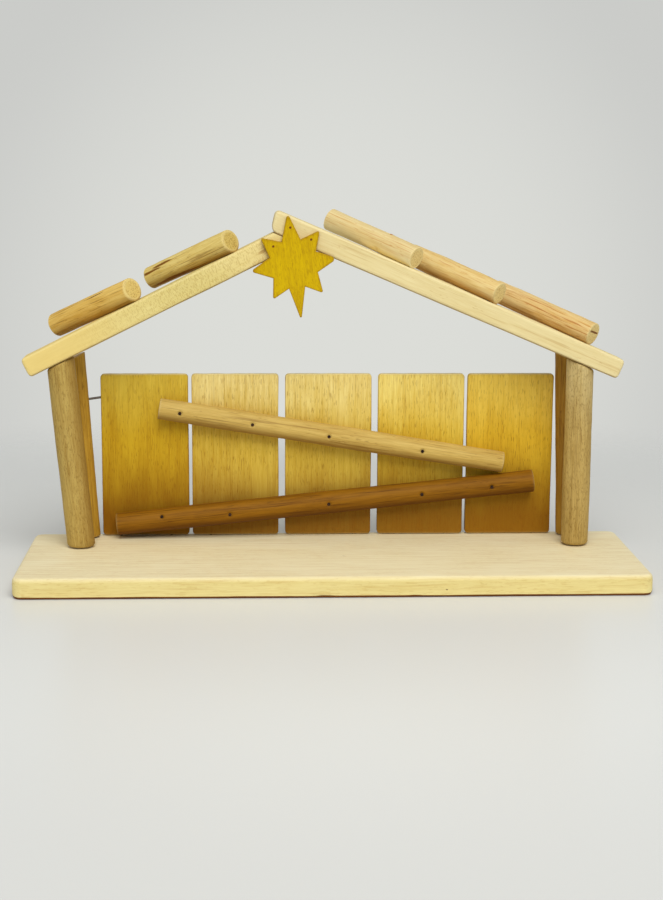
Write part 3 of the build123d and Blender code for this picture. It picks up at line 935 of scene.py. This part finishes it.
@dataclass
class Carver:
    """Turns a stick read from the model into a worked wooden piece.

    Lengths are in millimetres. The waves are slow unevenness, the fine waves are a fraction as long, and
    the wear is at the high end. A start is the share from which a number for the finish rises to one.
    """

    name: str
    stick: Stick
    section: Section
    steps: int = 150
    face_rings: int = 8
    rim_rings: int = 6
    wave: float = 0.12
    wave_length: float = 60.0
    fine_wave: float = 0.0
    fine_waves: int = 5
    fine_seed: int = 7
    top_wear: float = 0.0
    wear_length: float = 14.0
    wear_start: float = 0.85
    wear_seed: int = 5
    seed: int = 1
    marks: tuple[Mark, ...] = ()
    heads: Array | None = None
    head_reach: float = 1.35
    head_wall: float = 0.35
    head_depth: float = 0.55
    back_limit: float | None = None
    under_cut: float = 0.0
    rim_width: float = 1.2
    end_start: float = 0.75
    face_start: float = 0.85
    foot_start: float = 0.6
    foot_amount: float = 0.9
    face_fall: int = 12

    def stations(self) -> tuple[Array, Array, Array, Array, Array]:
        """Rings from end to end: over the low face, round its rim, along the side, and back the same way.

        Returns:
            Scale of each ring, its share of the length, its step from the nearer rim's inner edge, and how
            far the section draws in across and in depth.
        """
        low, high = self.stick.low, self.stick.high
        scale = np.linspace(0, 1, self.face_rings + 1)[1:]
        turn = np.linspace(0, QUARTER, self.rim_rings + 1)[1:]
        low_step, low_x, low_y = low.rim(turn)
        high_step, high_x, high_y = high.rim(turn)
        flat = np.ones(len(scale))
        share = np.linspace(0, 1, self.steps + 1)[1:-1]
        none = np.zeros(len(share))
        return (
            np.concatenate([scale, np.ones(len(turn) * 2 + len(share)), scale[::-1]]),
            np.concatenate([0 * scale, 0 * turn, share, 0 * turn + 1, 0 * scale + 1]),
            np.concatenate([-low.depth * flat, low_step, none, -high_step[::-1], high.depth * flat]),
            np.concatenate([low.round_x * flat, low_x, none, high_x[::-1], high.round_x * flat]),
            np.concatenate([low.round_y * flat, low_y, none, high_y[::-1], high.round_y * flat]),
        )

    def surface(self) -> tuple[Array, dict[str, Array]]:
        """Works out the piece on its own axes.

        A point is the section's sample, scaled by the ring, drawn in near the ends and pushed along its
        normal by slow waves and hollows, at the ring's share of the way between the two end planes.

        Returns:
            Places of the rings' samples in millimetres, and the numbers that the finish reads.
        """
        stick, cut = self.stick, self.section
        scale, share, step, draw_x, draw_y = (part[:, None] for part in self.stations())
        half_x = stick.half_x[0] + (stick.half_x[1] - stick.half_x[0]) * share - draw_x
        half_y = stick.half_y - draw_y
        arris = np.minimum(np.minimum(stick.arris * cut.ratio, half_x), half_y)
        across = scale * (cut.flat_x * (half_x - arris) + cut.turn_x * arris)
        deep = scale * (cut.flat_y * (half_y - arris) + cut.turn_y * arris)
        low, high = stick.low.height(across, deep), stick.high.height(across, deep)
        inner = low + stick.low.depth
        along = inner + (high - stick.high.depth - inner) * share + step
        points = np.stack([across, deep, along], -1)
        push = self.wave * ripple(points, self.wave_length, self.seed)
        fine_length = self.wave_length / self.fine_waves
        push += self.fine_wave * ripple(points, fine_length, self.seed + self.fine_seed)
        spots = np.stack([across / half_x, deep / half_y, share + 0 * across], -1)
        bells = [mark.bell(spots) for mark in self.marks]
        push -= sum(mark.depth * bell for mark, bell in zip(self.marks, bells))
        push -= self.head_hollows(points)
        worn = self.top_wear * np.abs(ripple(points, self.wear_length, self.seed + self.wear_seed))
        points[..., 0] += scale * cut.turn_x * push
        points[..., 1] += scale * cut.turn_y * push
        points[..., 2] -= worn * risen(share, self.wear_start)
        if self.under_cut:
            points[..., 0] = np.minimum(points[..., 0], stick.half_x[0] - self.under_cut)
        if self.back_limit is not None:
            room = self.back_limit - stick.place.origin[1]
            points[..., 1] = np.minimum(points[..., 1], room)
        rim = np.clip(1 - np.minimum(along - low, high - along) / self.rim_width, 0, 1)
        outer_rim = rim * (scale > self.face_start)
        corner = np.abs(2 * cut.turn_x * cut.turn_y) if stick.arris < stick.half_y else 0 * cut.turn_x
        # The shaded side reaches into the lowest part of each flat across, so that painted shade runs up a
        # face from its lower edge.
        foot = risen(across / half_x, self.foot_start) * self.foot_amount * (1 - np.abs(cut.turn_x))
        fields = {
            "end": risen(rim, self.end_start),
            "edge": np.maximum(outer_rim, corner),
            "rim": outer_rim,
            "side": cut.turn_y ** 2 + 0 * across,
            "fall": 1 - share + 0 * across,
            # Mask of the painted shading: the far side across, with the foot of the flats.
            "shaded_side": (np.maximum(cut.turn_x, 0) + foot) * scale ** self.face_fall,
            "mark": sum((mark.stain * bell for mark, bell in zip(self.marks, bells)), 0 * across),
        }
        return points, fields

    def head_hollows(self, points: Array) -> Array:
        """Hollows round the nail heads: a flat floor with a steep wall, by the distance from each head.

        Args:
            points: Places on the piece's own axes.

        Returns:
            Depth at each place.
        """
        if self.heads is None:
            return np.zeros(points.shape[:-1])
        local = self.stick.place.inward(self.heads)
        away = np.linalg.norm(points[..., None, :] - local, axis=-1).min(-1)
        return self.head_depth * smooth((self.head_reach + self.head_wall - away) / self.head_wall)

    def piece(self) -> bpy.types.Object:
        """Puts the worked surface into a mesh in the stable's frame."""
        points, fields = self.surface()
        return ringed_mesh(self.name, self.stick.place.outward(points), points, fields)


def with_poles(values: Array) -> Array:
    """Lays the values of all rings in one row, and adds the means of the first and the last ring."""
    poles = np.stack([values[0].mean(0), values[-1].mean(0)])
    return np.concatenate([values.reshape(-1, *values.shape[2:]), poles])


def ringed_mesh(name: str, rings: Array, grain: Array, fields: dict[str, Array]) -> bpy.types.Object:
    """Closes a stack of rings into a mesh.

    Quads join neighbouring samples of neighbouring rings, and a fan of triangles joins the first and the
    last ring to a pole in its middle.

    Args:
        name: Name of the piece.
        rings: Places in millimetres, rings by samples.
        grain: The same places on the piece's own axes.
        fields: Numbers for each place.

    Returns:
        The object.
    """
    count, around = rings.shape[:2]
    last = (count - 1) * around
    here = np.arange(around)
    after = (here + 1) % around
    start = np.arange(count - 1)[:, None] * around
    quads = np.stack([start + here, start + after, start + around + after, start + around + here], -1)
    low = np.stack([after, here, np.full(around, count * around)], -1)
    high = np.stack([last + here, last + after, np.full(around, count * around + 1)], -1)
    loops = np.concatenate([quads.ravel(), low.ravel(), high.ravel()])
    sizes = np.concatenate([np.full(quads.size // 4, 4), np.full(2 * around, 3)])

    mesh = bpy.data.meshes.new(name)
    places = with_poles(rings) * MM
    mesh.vertices.add(len(places))
    mesh.vertices.foreach_set("co", places.ravel())
    mesh.loops.add(len(loops))
    mesh.loops.foreach_set("vertex_index", loops)
    mesh.polygons.add(len(sizes))
    mesh.polygons.foreach_set("loop_start", np.cumsum(sizes) - sizes)
    mesh.update(calc_edges=True)
    mesh.validate()
    mesh.polygons.foreach_set("use_smooth", np.ones(len(sizes), bool))
    carried = mesh.attributes.new("grain", "FLOAT_VECTOR", "POINT")
    carried.data.foreach_set("vector", with_poles(grain).ravel())
    for key, values in fields.items():
        carried = mesh.attributes.new(key, "FLOAT", "POINT")
        carried.data.foreach_set("value", with_poles(values).ravel())
    piece = bpy.data.objects.new(name, mesh)
    bpy.context.scene.collection.objects.link(piece)
    return piece


def settle(piece: bpy.types.Object, node: str, material: bpy.types.Material) -> None:
    """Dresses a piece and sets it in the place of its node.

    Args:
        piece: The new piece.
        node: The node that it stands for.
        material: Its finish.
    """
    piece.data.materials.append(material)
    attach(piece, BODY)
    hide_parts(node)
    LOG.info("%s: %d faces", piece.name, len(piece.data.polygons))


# Both battens carry a painted shade along their lower arris, through the shaded-side tint.
FLECKED = Wood(
    "flecked_beam", (238, 218, 150), (218, 192, 114), (186, 152, 78),
    ring_amount=0.15, fibre_amount=0.3, band_amount=0.15, streak_amount=0.1,
    fleck=Grain.CROSS_FLECK, fleck_start=0.53, fleck_amount=0.4, fleck_patch=0.26, fleck_from=0.12,
    edge_colour=(238, 222, 166), stain_colour=(198, 164, 98),
    mid_colour=(246, 250, 243), mid_amount=1.0, low_colour=(240, 206, 120), low_amount=0.55,
    shaded_side_amount=0.5, shaded_side_start=0.75, shaded_side_reach=0.2,
)
PALE = Wood(
    "pale_beam", (234, 217, 162), (218, 196, 134), (184, 144, 76),
    ring_amount=0.3, fibre_amount=0.4, streak_amount=0.35, fleck_amount=0.4, fleck_start=0.7,
    blotch_amount=0.25, edge_colour=(242, 228, 180), shaded_side_amount=0.5, shaded_side_start=0.75, shaded_side_reach=0.2,
)
# The dark brown line along the base's lower edge, laid on through the shaded-side tint, is partly dirt and
# chipping and partly a painted contact shadow.
CREAM = Wood(
    "cream_base", (243, 231, 192), (232, 215, 168), (208, 174, 114),
    pith=(40.0, 120.0), ring_width=4.0, ring_amount=0.3, streak_amount=0.35,
    fleck_amount=0.25, fleck_start=0.6,
    edge_colour=(240, 225, 174), edge_amount=0.3, side_colour=(247, 241, 200), side_amount=1.0,
    shaded_side_colour=(112, 64, 22), shaded_side_amount=1.0, shaded_side_start=0.36, shaded_side_reach=0.12,
)
# The boards are painted paler at the top, a painted highlight, and browner towards the foot, a painted shade,
# through the tints along their length.
HONEY = Wood(
    "honey_board", (224, 192, 100), (196, 156, 56), (158, 112, 36),
    pith=(20.0, 60.0), ring_width=3.0, band_amount=0.15, streak_amount=0.2,
    fleck=Grain.DASH, fleck_amount=0.42, fleck_start=0.59, fleck_patch=0.3,
    mid_colour=(233, 219, 136), mid_amount=1.0, low_colour=(124, 72, 0), low_amount=0.85,
    edge_colour=(150, 108, 34), edge_amount=0.45, rim_colour=(232, 212, 148),
    end_light=(240, 224, 164), end_dark=(220, 196, 128),
)
# The left front post is painted darker on its inner side, a painted shade, through the shaded-side tint.
OLIVE = Wood(
    "olive_post", (192, 164, 90), (165, 132, 62), (110, 78, 30), end_light=(204, 178, 108),
    fleck=Grain.DOT, fleck_amount=0.36, fleck_start=0.57, fleck_patch=0.28, fibre_amount=0.7,
    ring_amount=0.25, streak_amount=0.28, edge_colour=(204, 178, 110), edge_amount=0.4,
    shaded_side_colour=(138, 100, 34), shaded_side_amount=0.5, shaded_side_start=0.2, shaded_side_reach=0.8,
)
# The right front post is painted lighter at its top and darker down its length: a painted light where the
# batten's shade falls.
GREY = replace(
    OLIVE, name="grey_post", light=(212, 190, 132), dark=(180, 154, 94),
    mid_colour=(230, 216, 178), mid_amount=0.9, shaded_side_amount=0.0,
)
BROWN = Wood(
    "brown_post", (172, 130, 46), (136, 94, 28), (86, 54, 16), end_light=(176, 138, 72), edge_amount=0.1,
)
GOLDEN = replace(BROWN, name="golden_post", light=(200, 158, 56), dark=(164, 120, 34))
# The logs' undersides are painted darker, a painted shade, through the shaded-side tint.
TAN_LOG = Wood(
    "tan_log", (235, 199, 110), (205, 159, 65), (130, 82, 22),
    pith=(2.5, 1.0), ring_width=1.5, streak_amount=0.6, edge_colour=(230, 208, 138), edge_amount=0.6,
    end_light=(220, 193, 113), end_dark=(170, 130, 60),
    shaded_side_colour=(134, 84, 6), shaded_side_amount=0.55,
)
OLIVE_LOG = replace(
    TAN_LOG, name="olive_log", light=(234, 212, 132), dark=(206, 174, 88), stain_colour=(126, 80, 14),
    end_light=(208, 181, 98), end_dark=(154, 118, 54), shaded_side_amount=0.66,
)
FAIR_LOG = Wood(
    "fair_log", (230, 206, 144), (212, 176, 102), (186, 118, 48),
    pith=(2.0, -1.5), ring_width=1.4, streak_amount=0.6, edge_colour=(232, 212, 150), edge_amount=0.5,
    end_light=(236, 210, 140), end_dark=(194, 158, 90), stain_colour=(120, 70, 26),
    shaded_side_colour=(162, 102, 4), shaded_side_amount=0.6,
)
# This log's underside is painted lighter instead: a painted light over the shade that falls there.
PALE_LOG = replace(
    FAIR_LOG, name="pale_log", light=(227, 208, 153), dark=(210, 181, 117), stain_colour=(176, 110, 46),
    shaded_side_colour=(250, 234, 178), shaded_side_amount=0.7, shaded_side_start=0.1, shaded_side_reach=0.6,
)
STREAKED_LOG = replace(
    FAIR_LOG, name="streaked_log", light=(230, 204, 144), dark=(208, 166, 94), streak=(178, 112, 46),
    streak_amount=0.85, streak_start=0.5, shaded_side_amount=0.34,
)
# Both rails are painted darker on their undersides, a painted shade, through the shaded-side tint.
TAN_RAIL = Wood(
    "tan_rail", (210, 179, 100), (182, 146, 68), (126, 90, 36), streak_amount=0.45, edge_amount=0.3,
    shaded_side_colour=(136, 96, 34), shaded_side_amount=0.6,
)
# The lower rail is a darker copy of the rail wood, a painted shade.
SHADED_RAIL = Wood(
    "shaded_rail", (148, 99, 12), (116, 72, 4), (80, 44, 2), streak_amount=0.6, edge_amount=0.1,
    shaded_side_colour=(88, 48, 0), shaded_side_amount=0.6,
)
SCREW_STEEL = NailSteel("screw_steel", (120, 116, 108), (110, 92, 70), roughness=0.4, metallic=0.9)
BRAD_STEEL = NailSteel("brad_steel", (104, 44, 4), (128, 62, 4), roughness=0.6, metallic=0.0)
WIRE_STEEL = NailSteel("wire_steel", (104, 100, 96), (112, 98, 84), roughness=0.45, metallic=0.5)


@dataclass
class BaseBoard:
    """Flat board that everything stands on, its grain along its length."""

    node: str = "base_board"
    corner: float = 6.0
    arris: float = 2.4
    under_arris: float = 1.0
    under_cut: float = 0.12
    samples: Counts = (12, 100, 5)
    finish: Wood = CREAM
    marks: tuple[Mark, ...] = (
        Mark((0.3, -1.0, 0.68), (0.12, 0.2, 0.002), depth=0.1, stain=0.8),
        Mark((-1.0, -0.1, 0.52), (0.4, 0.02, 0.006), stain=0.6),
        Mark((0.84, -1.0, 0.476), (0.2, 0.15, 0.034), depth=0.1, stain=1.0),
        Mark((0.86, -1.0, 0.63), (0.12, 0.15, 0.016), depth=0.1, stain=1.0),
    )

    def build(self) -> None:
        """Makes and dresses the board."""
        rounding = (self.arris, self.corner)
        stick = CadNode(self.node).bar(self.arris, rounding, rounding)
        section = Section.rounded(*self.samples, self.under_arris / self.arris)
        carver = Carver(
            "base_plank", stick, section, steps=300, wave=0.1, wave_length=90.0, seed=3,
            marks=self.marks, under_cut=self.under_cut,
        )
        settle(carver.piece(), self.node, self.finish.material())


@dataclass
class Wall:
    """Five upright boards on the back of the base, each with its own tone."""

    corner: float = 2.0
    arris: float = 0.5
    samples: Counts = (56, 5, 4)
    grain_step: Triple = (37.0, 11.0, 53.0)
    first_seed: int = 20
    nicked: int = 2
    nick: Mark = Mark((0.28, -1.0, 0.775), (0.14, 0.5, 0.008), depth=0.25, stain=0.45)
    tones: tuple[tuple[Colour, Colour], ...] = (
        ((230, 200, 74), (206, 168, 46)),
        ((246, 226, 152), (222, 190, 94)),
        ((246, 227, 150), (222, 190, 94)),
        ((247, 226, 132), (224, 188, 78)),
        ((248, 216, 98), (224, 184, 62)),
    )

    def build(self) -> None:
        """Makes and dresses the boards from left to right."""
        for number, (light, dark) in enumerate(self.tones, 1):
            node = f"back_board_{number}"
            rounding = (self.corner, self.arris)
            stick = CadNode(node).bar(self.arris, rounding, rounding)
            carver = Carver(
                f"wall_board_{number}", stick, Section.rounded(*self.samples), steps=170, top_wear=0.12,
                seed=self.first_seed + number, marks=(self.nick,) if number == self.nicked else (),
            )
            finish = replace(HONEY, light=light, dark=dark).numbered(number, self.grain_step)
            settle(carver.piece(), node, finish.material())


@dataclass
class Posts:
    """Four round posts, the front pair fairer than the rear pair."""

    front_round: float = 1.6
    rear_round: float = 0.6
    quarter: int = 24
    grain_step: Triple = (31.0, 17.0, 71.0)

    def build(self) -> None:
        """Makes and dresses the posts."""
        self.post("front_post_left", OLIVE, seed=1)
        self.post("front_post_right", GREY, seed=2)
        self.post("rear_post_left", GOLDEN, seed=3, heads=CadNode("wall_nail").heads())
        self.post("rear_post_right", BROWN, seed=4)

    def post(self, node: str, wood: Wood, seed: int, heads: Array | None = None) -> None:
        """Makes and dresses one post.

        Args:
            node: Its node.
            wood: Its wood.
            seed: Seed of its unevenness.
            heads: Nail heads that lie in it.
        """
        stick = CadNode(node).rod(self.front_round if node.startswith("front") else self.rear_round)
        carver = Carver(
            f"{node}_round", stick, Section.circle(self.quarter), wave=0.16, fine_wave=0.05, seed=seed,
            heads=heads,
        )
        settle(carver.piece(), node, wood.numbered(seed, self.grain_step).material())


@dataclass
class Roof:
    """Two tapered battens that meet at the ridge, with short logs lying askew on them."""

    arris: float = 1.5
    corner: float = 2.2
    ridge_corner: float = 3.2
    joint: float = 0.2
    log_rim: float = 0.45
    log_lean: float = 0.14
    quarter: int = 26
    samples: Counts = (12, 18, 5)
    grain_step: Triple = (0.0, 0.0, 61.0)

    def build(self) -> None:
        """Makes and dresses the battens and the logs."""
        heads = np.concatenate([CadNode(name).heads() for name in ("beam_nails", "apex_nail", "log_nails")])
        smudge = Mark((0.1, -1.0, 0.93), (0.8, 0.4, 0.05), stain=0.7)
        self.beam("left", (self.joint, self.joint), FLECKED, heads, (smudge,))
        self.beam("right", (self.ridge_corner, self.arris), PALE, heads, ())
        crack = Mark((-0.56, -0.83, 0.0), (0.14, 0.6, 0.2), depth=0.15, stain=0.95)
        crack_top = Mark((-0.8, -0.6, 0.24), (0.13, 0.5, 0.14), depth=0.1, stain=0.85)
        seam = Mark((0.74, -0.67, 0.4), (0.16, 0.5, 0.36), depth=0.1, stain=1.0)
        line = Mark((-0.85, -0.5, 0.62), (0.05, 0.2, 0.2), depth=0.08, stain=0.9)
        chip = Mark((0.75, -0.6, 0.62), (0.2, 0.5, 0.03), depth=0.5, stain=0.6)
        knot = Mark((-1.0, -0.1, 0.68), (0.3, 0.3, 0.02), depth=-0.2, stain=0.9)
        ridge = Mark((-1.0, 0.25, 0.45), (0.3, 0.3, 0.5), stain=0.75)
        split_end = Mark((-0.2, 0.0, 1.0), (0.12, 1.2, 0.01), depth=0.1, stain=1.0)
        self.log("left_1", TAN_LOG, seed=41, marks=(line,))
        self.log("left_2", OLIVE_LOG, seed=42, marks=(crack, crack_top, seam))
        self.log("right_1", PALE_LOG, seed=51, marks=(chip, knot, ridge))
        self.log("right_2", FAIR_LOG, seed=52, marks=())
        self.log("right_3", STREAKED_LOG, seed=53, marks=(split_end,))

    def beam(
        self, side: str, ridge: tuple[float, float], wood: Wood, heads: Array, marks: tuple[Mark, ...]
    ) -> None:
        """Makes and dresses one batten.

        Args:
            side: Left or right.
            ridge: Roundings of the end at the ridge, across and in depth.
            wood: Its wood.
            heads: Nail heads that lie in it.
            marks: Its flaws.
        """
        node = f"roof_beam_{side}"
        eave = (self.corner, self.arris)
        ends = (eave, ridge) if side == "left" else (ridge, eave)
        stick = CadNode(node).bar(self.arris, *ends)
        carver = Carver(
            f"batten_{side}", stick, Section.rounded(*self.samples), steps=260, seed=len(side),
            marks=marks, heads=heads,
        )
        settle(carver.piece(), node, wood.material())

    def log(self, place: str, wood: Wood, seed: int, marks: tuple[Mark, ...]) -> None:
        """Makes and dresses one log.

        Args:
            place: Side and number of the log.
            wood: Its wood.
            seed: Seed of its unevenness.
            marks: Its flaws.
        """
        node = f"roof_log_{place}"
        stick = CadNode(node).rod(self.log_rim)
        stick = replace(stick, high=replace(stick.high, lean_y=stick.high.lean_y + self.log_lean))
        carver = Carver(
            f"log_{place}", stick, Section.circle(self.quarter), wave=0.2, wave_length=40.0, fine_wave=0.06,
            seed=seed, marks=marks,
        )
        settle(carver.piece(), node, wood.numbered(seed, self.grain_step).material())


@dataclass
class Rails:
    """Two round rods nailed across the wall."""

    rim: float = 0.6
    quarter: int = 26

    def build(self) -> None:
        """Makes and dresses the rails."""
        heads = CadNode("rail_nails").heads()
        wall_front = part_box("back_board_1")[0].y / MM
        self.rail("rail_upper", "upper_rail_wood", TAN_RAIL, heads, wall_front)
        self.rail("rail_lower", "lower_rail_wood", SHADED_RAIL, heads, wall_front)

    def rail(self, node: str, slot: str, wood: Wood, heads: Array, wall_front: float) -> None:
        """Makes and dresses one rail.

        Args:
            node: Its node.
            slot: The record's name for its finish; only its length is read, as the seed of its unevenness.
            wood: Its wood.
            heads: Nail heads that lie in the rails.
            wall_front: Front of the wall in millimetres.
        """
        stick = CadNode(node).rod(self.rim)
        carver = Carver(
            f"{node}_round", stick, Section.circle(self.quarter), steps=420, wave=0.14, fine_wave=0.04,
            seed=len(slot), heads=heads, back_limit=wall_front,
        )
        settle(carver.piece(), node, wood.material())


@dataclass
class Star:
    """Flat star on the front of the ridge, cut from thin board and stained gold."""

    node: str = "star"
    samples: int = 480
    scales: tuple[float, ...] = (0.15, 0.3, 0.45, 0.6, 0.75, 0.88, 0.95, 0.975, 0.99, 1.0)
    inset: float = 0.08
    arris: float = 0.3
    front_step: float = 0.1
    back_step: float = 0.15
    face_limit: float = 0.01
    brad_reach: float = 1.2
    rub_start: float = 0.9
    lean: float = 7.0

    def outline(self) -> tuple[Array, float, float]:
        """Outline of the star, read from the rear face of its node.

        Returns:
            Corners in order, as places across and up in millimetres, and the front and back in depth.
        """
        cad = CadNode(self.node)
        front, back = cad.points[:, 1].min(), cad.points[:, 1].max()
        on_rear = cad.points[cad.points[:, 1] > back - self.face_limit]
        rear = np.unique(np.round(on_rear, NORMAL_DIGITS), axis=0)[:, [0, 2]]
        brads = CadNode("star_brads").heads()[:, [0, 2]]
        clear = np.linalg.norm(rear[:, None] - brads, axis=-1).min(1) > self.brad_reach
        corners = rear[clear]
        middle = corners.mean(0)
        order = np.argsort(np.arctan2(*(corners - middle).T[::-1]))
        return corners[order], front, back

    def build(self) -> None:
        """Makes and dresses the star.

        Rings of the outline, shrunk towards its middle, run over the front, round the edge and over the
        back.
        """
        corners, front, back = self.outline()
        closed = np.concatenate([corners, corners[:1]])
        run = np.concatenate([[0], np.cumsum(np.linalg.norm(np.diff(closed, axis=0), axis=1))])
        at = np.unique(np.concatenate([run[:-1], np.linspace(0, run[-1], self.samples, endpoint=False)]))
        edge = np.stack([np.interp(at, run, closed[:, axis]) for axis in (0, 1)], 1)
        middle = corners.mean(0)
        front += self.inset
        rounds = [front + self.front_step, front + self.arris, back - self.back_step]
        shrink = np.array(self.scales)
        depth = np.concatenate([np.full(len(shrink) - 2, front), rounds, np.full(len(shrink) - 1, back)])
        scale = np.concatenate([shrink, [1.0], shrink[-2::-1]])
        flat = middle + (edge - middle) * scale[:, None, None]
        rings = np.stack([flat[..., 0], np.broadcast_to(depth[:, None], flat.shape[:2]), flat[..., 1]], -1)
        rings = rings[:, ::-1]
        turn = math.radians(self.lean)
        across = rings[..., 0] * math.cos(turn) + rings[..., 2] * math.sin(turn)
        up = rings[..., 2] * math.cos(turn) - rings[..., 0] * math.sin(turn)
        grain = np.stack([across, rings[..., 1], up], -1)
        fields = {"edge": risen(scale, self.rub_start)[:, None] + 0 * across}
        settle(ringed_mesh("gold_star", rings, grain, fields), self.node, GoldStain().material())


@dataclass
class Fasteners:
    """Nails, pins and screws, which keep their construction shapes."""

    nails: tuple[str, ...] = ("rail_nails", "beam_nails", "apex_nail", "log_nails", "board_pins")
    screws: tuple[str, ...] = ("post_screws",)
    brads: tuple[str, ...] = ("star_brads",)
    wires: tuple[str, ...] = ("wall_nail",)

    def build(self) -> None:
        """Dresses the nails and the screws."""
        self.dress(self.nails, NailSteel())
        self.dress(self.screws, SCREW_STEEL)
        self.dress(self.brads, BRAD_STEEL)
        self.dress(self.wires, WIRE_STEEL)

    def dress(self, nodes: tuple[str, ...], steel: NailSteel) -> None:
        """Gives nodes a finish in place of their plain one.

        Args:
            nodes: The nodes.
            steel: Their finish.
        """
        finish = steel.material()
        for node in nodes:
            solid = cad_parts[node]
            solid.data.materials.clear()
            solid.data.materials.append(finish)
            LOG.info("%s: dressed", node)


@dataclass(frozen=True)
class Lamp:
    """Square soft lamp: where it hangs and its width in metres, and its power in watts."""

    name: str
    place: Triple
    size: float
    power: float

    def hang(self, aim: Triple) -> None:
        """Hangs the lamp, turned to a place in metres.

        Args:
            aim: The place.
        """
        data = bpy.data.lights.new(self.name, "AREA")
        data.size = self.size
        data.energy = self.power
        lamp = bpy.data.objects.new(self.name, data)
        lamp.location = self.place
        lamp.rotation_euler = (Vector(aim) - Vector(self.place)).to_track_quat("-Z", "Y").to_euler()
        bpy.context.scene.collection.objects.link(lamp)


@dataclass
class Studio:
    """Pale floor, soft light and the camera. Lengths are in metres, angles in degrees."""

    eye: Triple = (-0.04054, -0.86495, 0.22947)
    yaw: float = 2.674
    pitch: float = 10.587
    roll: float = 0.323
    lens: float = 65.97
    sensor: float = 36.0
    near: float = 0.01
    floor_reach: float = 1.6
    floor_drop: float = 0.0001
    floor_colour: Colour = (227, 227, 222)
    front_colour: Colour = (200, 200, 196)
    rear_colour: Colour = (228, 229, 225)
    floor_roughness: float = 0.32
    floor_gloss: float = 0.25
    shade_span: Span = (0.2, 0.5)
    fade_span: Span = (0.26, 0.55)
    rear_span: Span = (-0.05, 0.2)
    wall_colour: Colour = (203, 204, 201)
    glow_colour: Colour = (220, 221, 216)
    glow: Triple = (0.046, 0.993, -0.105)
    glow_span: Span = (0.97, 1.0)
    below_span: Span = (-0.22, -0.27)
    ambient_colour: tuple[float, ...] = (0.95, 0.98, 1.0, 1.0)
    ambient: float = 0.34
    aim: Triple = (0.0, 0.0, 0.08)
    lamps: tuple[Lamp, ...] = (
        Lamp("key", (0.12, -0.95, 1.16), 1.0, 17.6),
        Lamp("left", (-1.15, -0.5, 0.32), 0.8, 2.0),
        Lamp("right", (1.15, -0.5, 0.32), 0.8, 1.6),
    )

    def build(self) -> None:
        """Sets up the floor, the light, the camera and the view."""
        self.floor()
        self.sky()
        for lamp in self.lamps:
            lamp.hang(self.aim)
        self.camera()
        bpy.context.scene.view_settings.view_transform = "Standard"

    def floor(self) -> None:
        """Plain floor with a faint gloss, a flat sheet that fades out into the backdrop."""
        corners = np.array([[-1, -1, 0], [1, -1, 0], [1, 1, 0], [-1, 1, 0]]) * self.floor_reach
        mesh = bpy.data.meshes.new("studio_floor")
        mesh.from_pydata((corners - (0, 0, self.floor_drop)).tolist(), [], [(0, 1, 2, 3)])
        sheet = bpy.data.objects.new("studio_floor", mesh)
        bpy.context.scene.collection.objects.link(sheet)
        tree = Tree(bpy.data.materials.new("studio_floor"))
        place = tree.add("ShaderNodeTexCoord").outputs["Object"]
        away = tree.add("ShaderNodeVectorMath", {"operation": "LENGTH"}, {0: place})
        far = Flow(tree, away.outputs["Value"])
        behind = tree.parts(place)[1].eased(*self.rear_span)
        # Painted shade on the floor: away from the stable its colour goes over to a darker front colour and
        # an even rear colour.
        outer = tree.mix(behind, self.front_colour, self.rear_colour)
        sockets = {
            "Base Color": tree.mix(far.eased(*self.shade_span), self.floor_colour, outer),
            "Roughness": self.floor_roughness,
            "Specular IOR Level": self.floor_gloss,
            "Alpha": 1.0 - far.eased(*self.fade_span),
        }
        sheet.data.materials.append(tree.finish(sockets))

    def sky(self) -> None:
        """Even light from all round; the camera and mirrors see a pale backdrop, lighter ahead and below."""
        world = bpy.data.worlds.new("studio")
        bpy.context.scene.world = world
        tree = Tree(world)
        place = tree.add("ShaderNodeTexCoord").outputs["Generated"]
        ahead = Flow(tree, tree.vector_math("DOT_PRODUCT", place, self.glow).outputs["Value"])
        below = tree.parts(place)[2].eased(*self.below_span)
        seen = tree.mix(ahead.eased(*self.glow_span), self.wall_colour, self.glow_colour)
        seen = tree.mix(below, seen, self.floor_colour)
        rays = tree.add("ShaderNodeLightPath").outputs
        names = ("Is Camera Ray", "Is Glossy Ray", "Is Transmission Ray")
        camera, glossy, clear = (Flow(tree, rays[name]) for name in names)
        seen_by = camera.larger(glossy).larger(clear)
        light = tree.add("ShaderNodeBackground", None, {0: self.ambient_colour, 1: self.ambient})
        view = tree.add("ShaderNodeBackground", None, {0: seen, 1: 1.0})
        both = tree.add("ShaderNodeMixShader", None, {0: seen_by, 1: light.outputs[0], 2: view.outputs[0]})
        tree.add("ShaderNodeOutputWorld", None, {0: both.outputs[0]})

    def camera(self) -> None:
        """Camera at the viewing angle of the picture, from its heading, dip and roll."""
        yaw, pitch, roll = (math.radians(angle) for angle in (self.yaw, self.pitch, self.roll))
        ahead = Vector((math.sin(yaw) * math.cos(pitch), math.cos(yaw) * math.cos(pitch), -math.sin(pitch)))
        level = Vector((math.cos(yaw), -math.sin(yaw), 0))
        above = level.cross(ahead)
        right = level * math.cos(roll) + above * math.sin(roll)
        up = above * math.cos(roll) - level * math.sin(roll)
        data = bpy.data.cameras.new("camera")
        data.lens, data.sensor_width = self.lens, self.sensor
        data.clip_start = self.near
        camera = bpy.data.objects.new("camera", data)
        camera.matrix_world = Matrix.Translation(self.eye) @ Matrix((right, up, -ahead)).transposed().to_4x4()
        bpy.context.scene.collection.objects.link(camera)
        bpy.context.scene.camera = camera


def main() -> None:
    """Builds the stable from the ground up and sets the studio."""
    logging.basicConfig(level=logging.INFO)
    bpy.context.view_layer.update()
    for part in (BaseBoard(), Wall(), Posts(), Rails(), Roof(), Star(), Fasteners(), Studio()):
        part.build()


if __name__ == "__main__":
    main()
